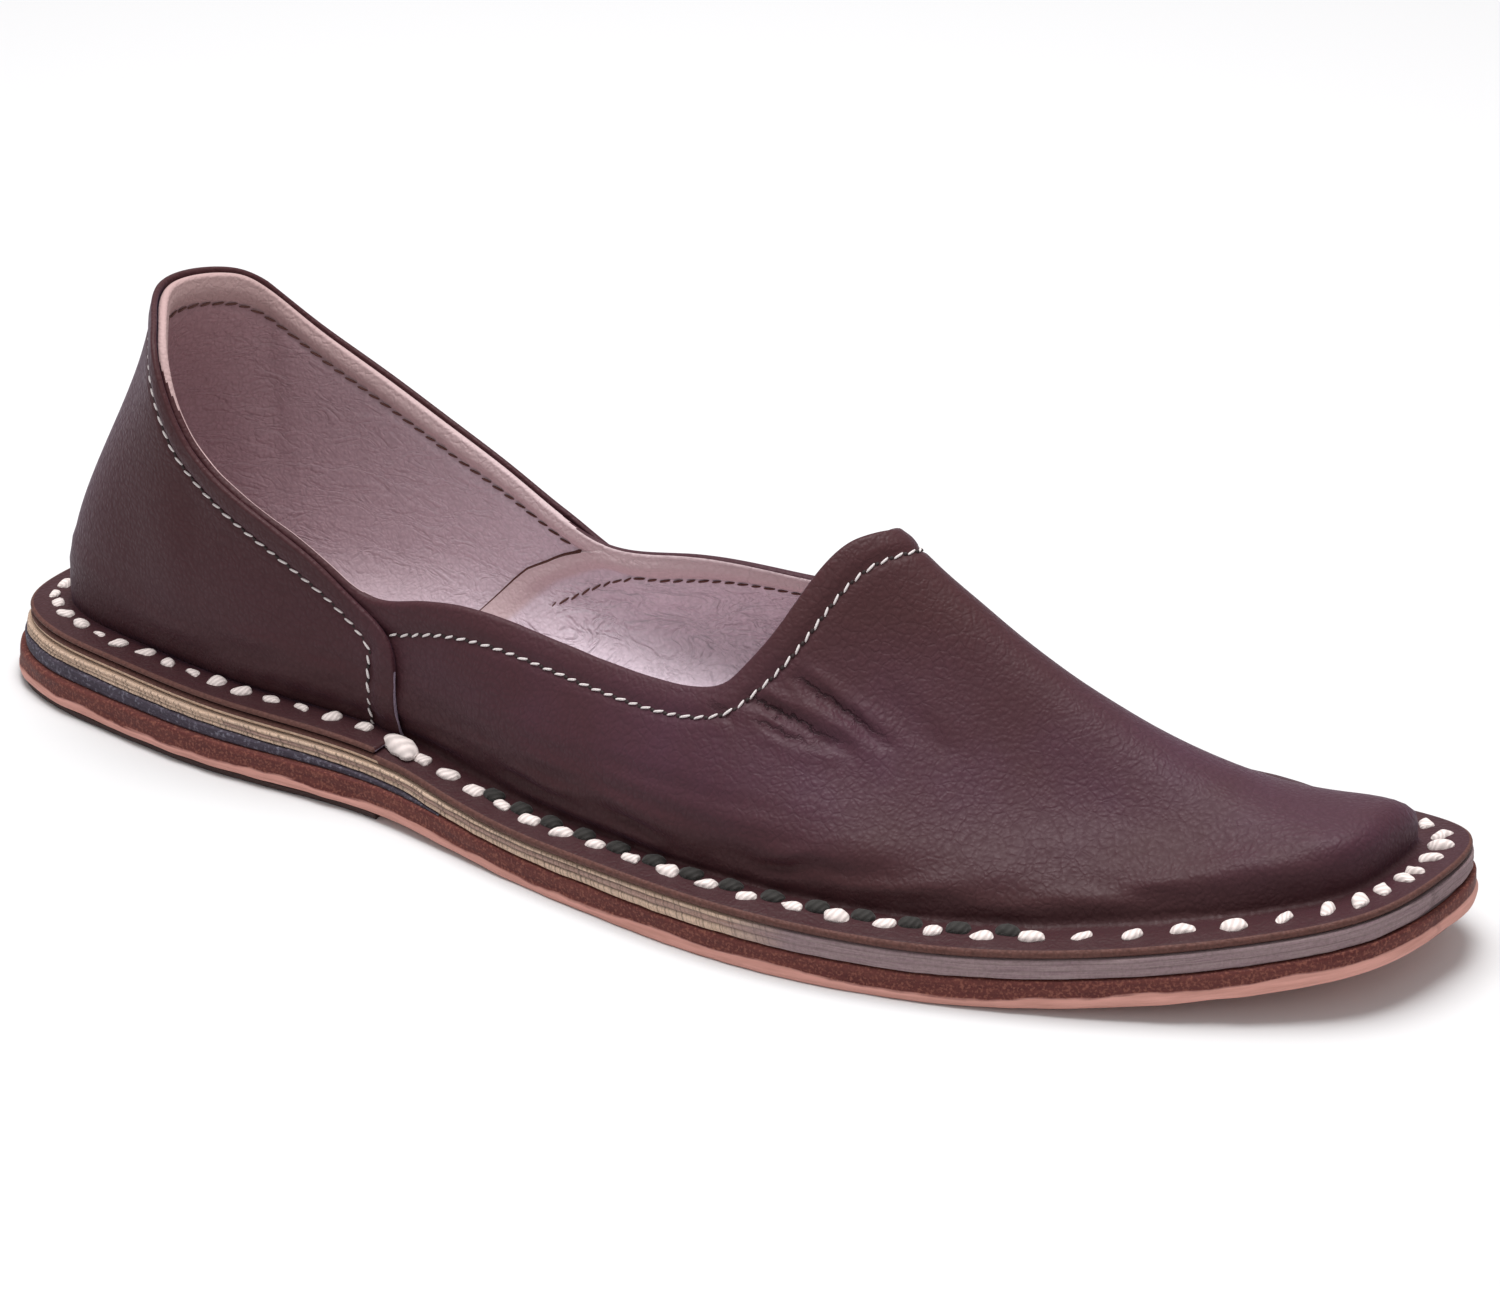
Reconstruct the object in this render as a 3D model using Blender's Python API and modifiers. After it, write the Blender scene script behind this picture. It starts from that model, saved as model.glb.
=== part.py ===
"""Mojari: a lasted leather slip-on with a turned-out, sewn edge on a layered leather sole."""
import math

import bmesh
import bpy
import numpy as np

# Driving sizes in metres: +X to the toe, +Y to the wearer's left, +Z up, floor at zero
LENGTH = 0.285
BALL_WIDTH = 0.100
HEEL_HEIGHT = 0.078
FLANGE_WIDTH = 0.0093
WALL = 0.0015
QUARTER_WALL = 0.0011
GAP = 0.0003

# Sole layers
LIFT_THICK = 0.0012
LIFT_FRONT = -0.048
HEEL_FLARE = 0.0026
TOE_FLARE = 0.0012
SIDE_FLARE = 0.0003
LIFT_SHARE = 0.85
WEDGE_SHARE = 0.55
MIDSOLE_SHARE = 0.35
OUTSOLE_THICK = 0.0050
WEDGE_HEEL = 0.0024
WEDGE_TIP = 0.0004
WEDGE_FRONT = -0.046
MIDSOLE_HEEL = 0.0021
MIDSOLE_BALL = 0.0036
INSOLE_THICK = 0.0016
INSOLE_EASE = 0.0009
TOE_SPRING = 0.0100
SPRING_START = 0.062
SPRING_POWER = 1.8

# Mesh densities
AROUND = 96
WALL_ROWS = 11
STATIONS = 44
EDGE_COLS = 6

# Flange edge from above, in fractions of length and ball width: heel, right side, toe, left side
OUTLINE_COLUMNS = ("along", "across")
OUTLINE = (
    (-0.491, -0.030),
    (-0.485, -0.163),
    (-0.451, -0.244),
    (-0.393, -0.290),
    (-0.295, -0.332),
    (-0.175, -0.339),
    (-0.084, -0.410),
    (0.007, -0.465),
    (0.116, -0.500),
    (0.232, -0.460),
    (0.340, -0.355),
    (0.425, -0.228),
    (0.477, -0.105),
    (0.496, 0.050),
    (0.491, 0.216),
    (0.448, 0.294),
    (0.344, 0.370),
    (0.232, 0.460),
    (0.123, 0.500),
    (0.011, 0.455),
    (-0.119, 0.340),
    (-0.288, 0.320),
    (-0.393, 0.276),
    (-0.449, 0.198),
    (-0.479, 0.098),
)

# One row for each section of the upper, from the heel round to the throat.
# around: share of the flange edge from the heel, on both sides.
# near (right) and far (left) top line: fractions of length, ball width and heel height.
# rise, swell: the wall leaves the feather line upward and outward.
# reach, drop: it comes to the top line from outside and below. All four are fractions of the ball width.
SECTION_COLUMNS = ("around", "near_x", "near_y", "near_z", "far_x", "far_y", "far_z",
                   "rise", "swell", "reach", "drop")
SECTIONS = (
    (0.000, -0.4000, 0.000, 1.000, -0.4000, 0.000, 1.000, 0.22, 0.03, 0.02, 0.22),
    (0.040, -0.3765, -0.128, 0.977, -0.3870, 0.125, 0.982, 0.22, 0.03, 0.02, 0.20),
    (0.075, -0.3544, -0.208, 0.895, -0.3660, 0.188, 0.923, 0.20, 0.035, 0.02, 0.17),
    (0.100, -0.3263, -0.240, 0.751, -0.3361, 0.222, 0.827, 0.17, 0.05, 0.03, 0.13),
    (0.124, -0.2807, -0.253, 0.644, -0.2902, 0.240, 0.731, 0.14, 0.05, 0.03, 0.10),
    (0.146, -0.2298, -0.254, 0.547, -0.2386, 0.243, 0.636, 0.11, 0.05, 0.03, 0.08),
    (0.162, -0.1965, -0.250, 0.477, -0.2000, 0.242, 0.567, 0.10, 0.05, 0.03, 0.06),
    (0.180, -0.1561, -0.253, 0.504, -0.1628, 0.242, 0.490, 0.10, 0.05, 0.03, 0.07),
    (0.203, -0.1088, -0.255, 0.526, -0.1179, 0.240, 0.431, 0.10, 0.05, 0.04, 0.07),
    (0.232, -0.0561, -0.260, 0.508, -0.0561, 0.240, 0.462, 0.10, 0.05, 0.05, 0.07),
    (0.262, 0.0175, -0.278, 0.492, 0.0105, 0.246, 0.474, 0.10, 0.05, 0.07, 0.08),
    (0.285, 0.0589, -0.277, 0.505, 0.0519, 0.260, 0.477, 0.10, 0.05, 0.09, 0.09),
    (0.310, 0.0751, -0.253, 0.546, 0.0730, 0.250, 0.533, 0.107, 0.038, 0.136, 0.149),
    (0.355, 0.0895, -0.210, 0.623, 0.0895, 0.210, 0.623, 0.110, 0.025, 0.240, 0.288),
    (0.405, 0.1011, -0.153, 0.712, 0.1011, 0.153, 0.668, 0.132, 0.012, 0.432, 0.457),
    (0.455, 0.1185, -0.078, 0.804, 0.1160, 0.078, 0.752, 0.201, 0.011, 0.651, 0.602),
    (0.500, 0.1345, 0.000, 0.812, 0.1345, 0.000, 0.812, 0.261, 0.023, 0.815, 0.610),
)

# Front edge of the quarter on each side: where it stands, how far back it rounds, where the round ends
QUARTER_COLUMNS = ("side", "base", "round", "shoulder")
QUARTER_EDGES = (
    ("near", 0.1710, 0.024, 0.45),
    ("far", 0.2080, 0.024, 0.45),
)

COLLECTION = "mojari"
MATERIALS = {
    "upper": ((0.060, 0.036, 0.034, 1.0), 0.48),
    "heel_quarter": ((0.056, 0.034, 0.033, 1.0), 0.48),
    "insole": ((0.40, 0.31, 0.29, 1.0), 0.75),
    "midsole": ((0.30, 0.25, 0.20, 1.0), 0.85),
    "heel_wedge": ((0.07, 0.075, 0.09, 1.0), 0.80),
    "outsole": ((0.24, 0.095, 0.06, 1.0), 0.62),
    "heel_lift": ((0.06, 0.035, 0.03, 1.0), 0.80),
}


def closed_spline(knots, values, wanted):
    """Smooth periodic curve of period one through the values at the knots."""
    knots = np.asarray(knots, float)
    values = np.asarray(values, float)
    count = len(knots)
    step = np.diff(np.append(knots, knots[0] + 1.0))
    system = np.zeros((count, count))
    right = np.zeros((count, values.shape[1]))
    for i in range(count):
        before = step[i - 1]
        after = step[i]
        system[i, i - 1] += before
        system[i, i] += 2.0 * (before + after)
        system[i, (i + 1) % count] += after
        rise = (values[(i + 1) % count] - values[i]) / after
        fall = (values[i] - values[i - 1]) / before
        right[i] = 6.0 * (rise - fall)
    bend = np.linalg.solve(system, right)
    wanted = (np.asarray(wanted, float) - knots[0]) % 1.0 + knots[0]
    span = np.searchsorted(knots, wanted, side="right") - 1
    after = (span + 1) % count
    width = step[span][:, None]
    b = (wanted - knots[span])[:, None] / width
    a = 1.0 - b
    curve = a * values[span] + b * values[after]
    return curve + ((a ** 3 - a) * bend[span] + (b ** 3 - b) * bend[after]) * width ** 2 / 6.0


def flange_outline():
    """Dense flange edge, evenly spaced, centred on the origin, with outward normals."""
    rows = np.array(OUTLINE) * (LENGTH, BALL_WIDTH)
    chord = np.linalg.norm(np.roll(rows, -1, axis=0) - rows, axis=1)
    knots = np.concatenate(([0.0], np.cumsum(chord)[:-1])) / chord.sum()
    dense = closed_spline(knots, rows, np.linspace(0.0, 1.0, 4000, endpoint=False))
    low = dense.min(axis=0)
    high = dense.max(axis=0)
    want_low = np.array((HEEL_FLARE - LENGTH / 2.0, SIDE_FLARE - BALL_WIDTH / 2.0))
    want_high = np.array((LENGTH / 2.0 - TOE_FLARE, BALL_WIDTH / 2.0 - SIDE_FLARE))
    dense = want_low + (dense - low) * (want_high - want_low) / (high - low)
    first = int(np.argmin(np.hypot(dense[:, 0] - want_low[0], dense[:, 1])))
    dense = np.roll(dense, -first, axis=0)
    run = np.linalg.norm(np.roll(dense, -1, axis=0) - dense, axis=1)
    place = np.concatenate(([0.0], np.cumsum(run)))
    ends = np.vstack((dense, dense[:1]))
    even = np.linspace(0.0, place[-1], 4000, endpoint=False)
    points = np.column_stack([np.interp(even, place, ends[:, k]) for k in (0, 1)])
    ahead = np.roll(points, -8, axis=0) - np.roll(points, 8, axis=0)
    ahead /= np.linalg.norm(ahead, axis=1)[:, None]
    return points, np.column_stack((ahead[:, 1], -ahead[:, 0]))


EDGE, OUTWARD = flange_outline()


def edge_at(share):
    """Flange edge and outward direction at a share of the way round."""
    index = (np.asarray(share) % 1.0) * len(EDGE)
    low = np.floor(index).astype(int) % len(EDGE)
    part = (index - np.floor(index))[:, None]
    high = (low + 1) % len(EDGE)
    return (EDGE[low] * (1 - part) + EDGE[high] * part,
            OUTWARD[low] * (1 - part) + OUTWARD[high] * part)


def smooth_step(value, start, end):
    """Eased change from nought to one between start and end."""
    t = np.clip((np.asarray(value, float) - start) / (end - start), 0.0, 1.0)
    return t * t * (3.0 - 2.0 * t)


def flare(x):
    """How far the sole stands out past the flange: most at the heel, a little at the toe."""
    heel = (HEEL_FLARE - SIDE_FLARE) * (1.0 - smooth_step(x, -0.060, -0.010))
    toe = (TOE_FLARE - SIDE_FLARE) * smooth_step(x, 0.080, 0.120)
    return SIDE_FLARE + heel + toe


def outsole_low(x):
    """Underside of the outsole: over the lift, down at the ball, up at the toe."""
    x = np.asarray(x, float)
    seat = (LIFT_THICK + GAP) * (1.0 - smooth_step(x, LIFT_FRONT + 0.002, LIFT_FRONT + 0.040))
    spring = np.clip((x - SPRING_START) / (LENGTH / 2.0 - SPRING_START), 0.0, None)
    return seat + TOE_SPRING * spring ** SPRING_POWER


def outsole_high(x):
    """Top of the outsole."""
    return outsole_low(x) + OUTSOLE_THICK


def wedge_high(x):
    """Top of the heel wedge, thinning toward its front."""
    share = np.clip((np.asarray(x, float) + LENGTH / 2.0) / (WEDGE_FRONT + LENGTH / 2.0), 0.0, 1.0)
    thick = WEDGE_HEEL + (WEDGE_TIP - WEDGE_HEEL) * share ** 2
    return outsole_high(x) + GAP + thick


def midsole_low(x):
    """Underside of the midsole: on the wedge behind, on the outsole ahead."""
    ahead = smooth_step(x, WEDGE_FRONT + 0.001, WEDGE_FRONT + 0.016)
    return (wedge_high(x) + GAP) * (1.0 - ahead) + (outsole_high(x) + GAP) * ahead


def midsole_high(x):
    """Top of the midsole, a little thicker at the ball."""
    ahead = smooth_step(x, -0.060, 0.040)
    return midsole_low(x) + MIDSOLE_HEEL + (MIDSOLE_BALL - MIDSOLE_HEEL) * ahead


def flange_top(x):
    """Top of the upper's turned-out edge."""
    return midsole_high(x) + GAP + WALL


def section_values(share):
    """Top line and wall directions at shares of the way round, from the table of sections."""
    name = {column: k for k, column in enumerate(SECTION_COLUMNS)}
    table = np.array(SECTIONS)
    scale = np.array((LENGTH, BALL_WIDTH, HEEL_HEIGHT))
    near = table[:, name["near_x"]:name["near_z"] + 1] * scale
    far = table[:, name["far_x"]:name["far_z"] + 1] * scale
    shape = table[:, name["rise"]:name["drop"] + 1] * BALL_WIDTH
    there = np.hstack((near, shape))
    back = np.hstack((far, shape))[1:-1][::-1]
    around = table[:, name["around"]]
    knots = np.concatenate((around, 1.0 - around[1:-1][::-1]))
    return closed_spline(knots, np.vstack((there, back)), share)


def meridians(share, top=None):
    """Sections of the upper's outside, flange edge to top line, one for each share."""
    share = np.asarray(share, float)
    edge, outward = edge_at(share)
    values = section_values(share)
    crown = values[:, :3]
    rise, swell, reach, drop = (values[:, k][:, None] for k in (3, 4, 5, 6))
    foot = edge - outward * FLANGE_WIDTH
    middle = edge - outward * FLANGE_WIDTH / 2.0
    z_foot = flange_top(foot[:, 0])[:, None]
    start = np.hstack((foot, z_foot))
    away = foot - crown[:, :2]
    away = away / np.maximum(np.linalg.norm(away, axis=1), 1e-6)[:, None]
    out3 = np.hstack((outward, np.zeros((len(share), 1))))
    away3 = np.hstack((away, np.zeros((len(share), 1))))
    up = np.array((0.0, 0.0, 1.0))
    first = start + rise * up + swell * out3
    second = crown + reach * away3 - drop * up
    columns = [np.hstack((edge, flange_top(edge[:, 0])[:, None])),
               np.hstack((middle, flange_top(middle[:, 0])[:, None])),
               start]
    limit = np.ones(len(share)) if top is None else np.asarray(top, float)
    for k in range(1, WALL_ROWS + 1):
        t = (limit * k / WALL_ROWS)[:, None]
        s = 1.0 - t
        columns.append(s ** 3 * start + 3 * s * s * t * first + 3 * s * t * t * second + t ** 3 * crown)
    return np.stack(columns, axis=1)


def face_normals(grid, wrap):
    """Outward direction at each point of a grid of sections, even on both sides of the crease."""
    def directions(part):
        along = np.gradient(part, axis=0)
        if wrap:
            along = (np.roll(part, -1, axis=0) - np.roll(part, 1, axis=0)) / 2.0
        across = np.gradient(part, axis=1)
        normal = np.cross(along, across)
        return normal / np.linalg.norm(normal, axis=2)[:, :, None]
    flange = directions(grid[:, :3])
    wall = directions(grid[:, 2:])
    crease = flange[:, 2] + wall[:, 0]
    crease /= (1.0 + np.sum(flange[:, 2] * wall[:, 0], axis=1))[:, None]
    return np.concatenate((flange[:, :2], crease[:, None], wall[:, 1:]), axis=1)


def new_object(name, mesh, collection):
    """Links a mesh under its plain name with its own material."""
    mesh.name = name
    thing = bpy.data.objects.new(name, mesh)
    collection.objects.link(thing)
    colour, rough = MATERIALS[name]
    material = bpy.data.materials.new(name + "_material")
    material.use_nodes = True
    shader = material.node_tree.nodes["Principled BSDF"]
    shader.inputs["Base Color"].default_value = colour
    shader.inputs["Roughness"].default_value = rough
    shader.inputs["Metallic"].default_value = 0.0
    mesh.materials.append(material)
    return thing


def loft(name, sections, ring, wrap, collection):
    """Skins sections of equal count: ring closes and caps them, wrap joins last to first."""
    work = bmesh.new()
    rows = [[work.verts.new(tuple(p)) for p in section] for section in sections]
    pairs = list(zip(rows, rows[1:]))
    if wrap:
        pairs.append((rows[-1], rows[0]))
    for here, there in pairs:
        count = len(here)
        for k in range(count if ring else count - 1):
            n = (k + 1) % count
            work.faces.new((here[k], there[k], there[n], here[n]))
    if ring:
        work.faces.new(rows[0])
        work.faces.new(rows[-1][::-1])
        bmesh.ops.recalc_face_normals(work, faces=work.faces)
    mesh = bpy.data.meshes.new(name)
    work.to_mesh(mesh)
    work.free()
    return new_object(name, mesh, collection)


def thicken(thing, thickness, offset):
    """Gives a sheet its leather thickness."""
    shell = thing.modifiers.new("wall", "SOLIDIFY")
    shell.thickness = thickness
    shell.offset = offset
    shell.use_even_offset = True
    shell.use_rim = True


def slab(name, edge, low, high, collection, front=None):
    """A sole layer: crosswise sections along the shoe, out to the flange edge plus an allowance."""
    points = EDGE + OUTWARD * edge(EDGE[:, 0])[:, None]
    tip = int(np.argmax(points[:, 0]))
    heel = int(np.argmin(points[:, 0]))
    order = np.roll(points, -heel, axis=0)
    turn = (tip - heel) % len(points)
    near = order[:turn + 1]
    far = np.vstack((order[turn:], order[:1]))[::-1]
    start = points[heel, 0]
    end = points[tip, 0]
    turns = (np.arange(STATIONS) + 0.5) / STATIONS
    along = start + (end - start) * (1.0 - np.cos(math.pi * turns)) / 2.0
    if front is not None:
        along = np.append(along[along < front - 0.003], front)
    sections = []
    for x in along:
        y_near = np.interp(x, near[:, 0], near[:, 1])
        y_far = np.interp(x, far[:, 0], far[:, 1])
        z_low = float(low(x))
        z_high = float(high(x))
        sections.append(((x, y_near, z_low), (x, y_far, z_low), (x, y_far, z_high), (x, y_near, z_high)))
    return loft(name, sections, True, False, collection)


def upper(collection):
    """Vamp, wings and inner back as one lasted wall with its turned-out edge."""
    share = np.linspace(0.0, 1.0, AROUND, endpoint=False)
    thing = loft("upper", meridians(share), False, True, collection)
    thicken(thing, WALL, -1.0)
    return thing


def heel_quarter(collection):
    """Outer back piece, laid on the upper's own form and rounded at its front edges."""
    edges = {row[0]: dict(zip(QUARTER_COLUMNS, row)) for row in QUARTER_EDGES}
    near = edges["near"]
    far = edges["far"]
    near_turn = near["base"] - near["round"]
    far_turn = far["base"] - far["round"]
    whole = np.arange(-AROUND, AROUND + 1) / AROUND
    whole = whole[(whole > -far_turn) & (whole < near_turn)]
    turns = np.sin(np.linspace(0.0, math.pi / 2.0, EDGE_COLS))
    share = np.concatenate((
        (-far_turn - turns * far["round"])[::-1],
        whole,
        near_turn + turns * near["round"],
    ))
    limit = np.ones(len(share))
    for k, value in enumerate(share):
        side = near if value >= 0.0 else far
        over = (abs(value) - (side["base"] - side["round"])) / side["round"]
        if over > 0.0:
            bow = math.sqrt(max(0.0, 1.0 - min(1.0, over) ** 2.2))
            limit[k] = side["shoulder"] + (1.0 - side["shoulder"]) * bow
    grid = meridians(share, limit)
    grid = grid + face_normals(grid, False) * GAP
    thing = loft("heel_quarter", grid, False, False, collection)
    thicken(thing, QUARTER_WALL, 1.0)
    return thing


def main():
    for thing in list(bpy.data.objects):
        bpy.data.objects.remove(thing)
    collection = bpy.data.collections.new(COLLECTION)
    bpy.context.scene.collection.children.link(collection)
    slab("heel_lift", lambda x: flare(x) * LIFT_SHARE, lambda x: 0.0, lambda x: LIFT_THICK,
         collection, LIFT_FRONT)
    slab("outsole", flare, outsole_low, outsole_high, collection)
    slab("heel_wedge", lambda x: flare(x) * WEDGE_SHARE, lambda x: outsole_high(x) + GAP, wedge_high,
         collection, WEDGE_FRONT)
    slab("midsole", lambda x: flare(x) * MIDSOLE_SHARE, midsole_low, midsole_high, collection)
    inner = FLANGE_WIDTH + WALL + INSOLE_EASE
    slab("insole", lambda x: x * 0.0 - inner, lambda x: midsole_high(x) + GAP,
         lambda x: midsole_high(x) + GAP + INSOLE_THICK, collection)
    upper(collection)
    heel_quarter(collection)


main()
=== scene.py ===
"""Mojari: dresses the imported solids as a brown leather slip-on, sewn with white cord to a layered sole."""

import math

import bmesh
import bpy
import numpy as np
from bpy.props import FloatProperty, FloatVectorProperty, PointerProperty
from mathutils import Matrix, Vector, noise


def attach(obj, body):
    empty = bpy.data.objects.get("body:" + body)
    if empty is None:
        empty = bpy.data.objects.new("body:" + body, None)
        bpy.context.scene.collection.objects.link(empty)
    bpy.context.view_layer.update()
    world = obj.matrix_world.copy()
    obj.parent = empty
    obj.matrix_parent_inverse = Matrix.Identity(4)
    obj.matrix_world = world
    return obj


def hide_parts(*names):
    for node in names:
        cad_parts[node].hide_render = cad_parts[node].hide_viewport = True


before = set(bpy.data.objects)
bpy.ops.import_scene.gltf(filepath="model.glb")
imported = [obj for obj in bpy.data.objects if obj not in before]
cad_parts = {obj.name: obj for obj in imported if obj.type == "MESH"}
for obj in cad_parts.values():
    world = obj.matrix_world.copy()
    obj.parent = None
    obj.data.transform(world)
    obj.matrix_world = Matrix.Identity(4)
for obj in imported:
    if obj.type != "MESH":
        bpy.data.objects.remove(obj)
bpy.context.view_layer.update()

bl_info = {
    "name": "Mojari",
    "version": (1, 0, 0),
    "blender": (4, 5, 0),
    "location": "View3D > Sidebar > Mojari",
    "description": "Dresses the solids of a mojari in leather, cord and thread",
    "category": "Object",
}

# Flange edge from above, in fractions of length and ball width: heel, right side, toe, left side
OUTLINE = (
    (-0.491, -0.030), (-0.485, -0.163), (-0.451, -0.244), (-0.393, -0.290), (-0.295, -0.332),
    (-0.175, -0.339), (-0.084, -0.410), (0.007, -0.465), (0.116, -0.500), (0.232, -0.460),
    (0.340, -0.355), (0.425, -0.228), (0.477, -0.105), (0.496, 0.050), (0.491, 0.216),
    (0.448, 0.294), (0.344, 0.370), (0.232, 0.460), (0.123, 0.500), (0.011, 0.455),
    (-0.119, 0.340), (-0.288, 0.320), (-0.393, 0.276), (-0.449, 0.198), (-0.479, 0.098),
)

# One row for each section of the upper, from the heel round to the throat, as fractions of the main sizes
SECTION_COLUMNS = ("around", "near_x", "near_y", "near_z", "far_x", "far_y", "far_z",
                   "rise", "swell", "reach", "drop")
SECTIONS = (
    (0.000, -0.4000, 0.000, 1.000, -0.4000, 0.000, 1.000, 0.22, 0.03, 0.02, 0.22),
    (0.040, -0.3765, -0.128, 0.977, -0.3870, 0.125, 0.982, 0.22, 0.03, 0.02, 0.20),
    (0.075, -0.3544, -0.208, 0.895, -0.3660, 0.188, 0.923, 0.20, 0.035, 0.02, 0.17),
    (0.100, -0.3263, -0.240, 0.751, -0.3361, 0.222, 0.827, 0.17, 0.05, 0.03, 0.13),
    (0.124, -0.2807, -0.253, 0.644, -0.2902, 0.240, 0.731, 0.14, 0.05, 0.03, 0.10),
    (0.146, -0.2298, -0.254, 0.547, -0.2386, 0.243, 0.636, 0.11, 0.05, 0.03, 0.08),
    (0.162, -0.1965, -0.250, 0.477, -0.2000, 0.242, 0.567, 0.10, 0.05, 0.03, 0.06),
    (0.180, -0.1561, -0.253, 0.504, -0.1628, 0.242, 0.490, 0.10, 0.05, 0.03, 0.07),
    (0.203, -0.1088, -0.255, 0.526, -0.1179, 0.240, 0.431, 0.10, 0.05, 0.04, 0.07),
    (0.232, -0.0561, -0.260, 0.508, -0.0561, 0.240, 0.462, 0.10, 0.05, 0.05, 0.07),
    (0.262, 0.0175, -0.278, 0.492, 0.0105, 0.246, 0.474, 0.10, 0.05, 0.07, 0.08),
    (0.285, 0.0589, -0.277, 0.505, 0.0519, 0.260, 0.477, 0.10, 0.05, 0.09, 0.09),
    (0.310, 0.0751, -0.253, 0.546, 0.0730, 0.250, 0.533, 0.107, 0.038, 0.136, 0.149),
    (0.355, 0.0895, -0.210, 0.623, 0.0895, 0.210, 0.623, 0.110, 0.025, 0.240, 0.288),
    (0.405, 0.1011, -0.153, 0.712, 0.1011, 0.153, 0.668, 0.132, 0.012, 0.432, 0.457),
    (0.455, 0.1185, -0.078, 0.804, 0.1160, 0.078, 0.752, 0.201, 0.011, 0.651, 0.602),
    (0.500, 0.1345, 0.000, 0.812, 0.1345, 0.000, 0.812, 0.261, 0.023, 0.815, 0.610),
)

# Front edge of the quarter on each side: where it stands, how far back it rounds, where the round ends
QUARTER_EDGES = {
    "near": {"base": 0.1710, "round": 0.024, "shoulder": 0.45},
    "far": {"base": 0.2080, "round": 0.024, "shoulder": 0.45},
}

# Soft creases of the vamp in millimetres: a trough from one point to another on the side, its width and depth
CREASE_COLUMNS = ("side", "from_x", "from_z", "to_x", "to_z", "wide", "deep")
CREASES = (
    ("near", 24.6, 38.9, 43.5, 33.0, 0.85, 1.00),
    ("near", 26.5, 36.2, 40.0, 32.6, 0.75, 0.55),
    ("near", 31.0, 42.5, 50.0, 33.2, 0.85, 0.80),
    ("near", 18.0, 37.4, 24.0, 35.6, 0.80, 0.35),
    ("near", 45.0, 41.0, 60.0, 31.0, 2.20, 0.30),
    ("near", 33.0, 14.2, 47.0, 18.5, 1.20, 0.50),
    ("near", 44.0, 17.0, 66.0, 17.6, 1.10, 0.45),
    ("near", 4.0, 15.5, 24.0, 13.6, 1.10, 0.40),
    ("near", 78.0, 20.0, 104.0, 21.5, 1.40, 0.40),
    ("near", 96.0, 18.0, 122.0, 20.4, 1.20, 0.40),
    ("near", -24.0, 15.0, 0.0, 14.4, 1.10, 0.35),
    ("far", 23.0, 37.0, 42.0, 31.5, 1.20, 0.80),
    ("far", 32.0, 38.0, 50.0, 31.0, 1.20, 0.45),
    ("far", 36.0, 15.0, 60.0, 18.0, 1.20, 0.45),
    ("far", 80.0, 21.0, 106.0, 23.0, 1.40, 0.40),
)

# Rear edge of the vamp's lining inside the quarter: share of the height down, and how far back it has run
LAP_EDGE = (
    (0.00, 0.000), (0.15, 0.013), (0.34, 0.025), (0.49, 0.034), (0.61, 0.042), (0.71, 0.047),
    (0.80, 0.053), (0.88, 0.056), (0.94, 0.059), (1.00, 0.061),
)
LAP_STARTS = {"near": 0.162, "far": 0.797}

# Distance between cord stitches round the edge, in millimetres, by share of the way from heel to toe
CORD_PITCH = (
    (0.00, 6.3), (0.04, 6.1), (0.08, 6.2), (0.17, 6.7), (0.22, 7.6), (0.30, 8.8),
    (0.44, 8.6), (0.460, 8.0), (0.474, 6.2), (0.50, 5.8),
)

# Heights of the lines between the board layers of the midsole, as shares of its thickness, heel and ball
LAMINA_LINES = ((0.36, 0.46), (0.70, 0.80))
LAMINA_SPAN = (-0.060, 0.040)

# Rim of a turned-out edge: how far in from its outline, and the share of its thickness
FLANGE_RIM = ((0.00035, 0.0), (0.00003, 0.22), (-0.00010, 0.55), (0.00005, 0.84), (0.00050, 1.0))

# Heights of the rows on the edge of a sole layer, as shares of its thickness
EDGE_ROWS = (0.0, 0.05, 0.14, 0.24, 0.34, 0.42, 0.50, 0.58, 0.66, 0.76, 0.86, 0.95, 1.0)

# Length, width and height of the odd stitches and of a needle's hole
STEP_STITCH = (0.0088, 0.0046, 0.0024)
WAXED_STITCH = (0.0044, 0.0036, 0.0015)
NEEDLE_HOLE = (0.00085, 0.00070, 0.00024)
HOLE_DEEP = 0.00012
LUMP_SHIFTS = (0.0, 31.4, 71.8)
# Colour of the needle's holes: painted shade in the holes
HOLE_SHADE_TONE = (0.022, 0.008, 0.008, 1.0)

# How many creases, from the first, have a sharp bottom darkened with painted shade
SHARP_CREASES = 4

# Height above the feather line where the wall's rows end and the soft bend begins
FOOT_CLEAR = 0.0018

# Distance that the whole way round stands for on the lining's laps
LAP_PACE = 0.62

# How much deeper the lining's thread lies than the white thread
THREAD_IN = 0.0004

UP = np.array((0.0, 0.0, 1.0))


def measure(label, words, value):
    """A length property in metres."""
    return FloatProperty(name=label, description=words, default=value, unit="LENGTH")


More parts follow.
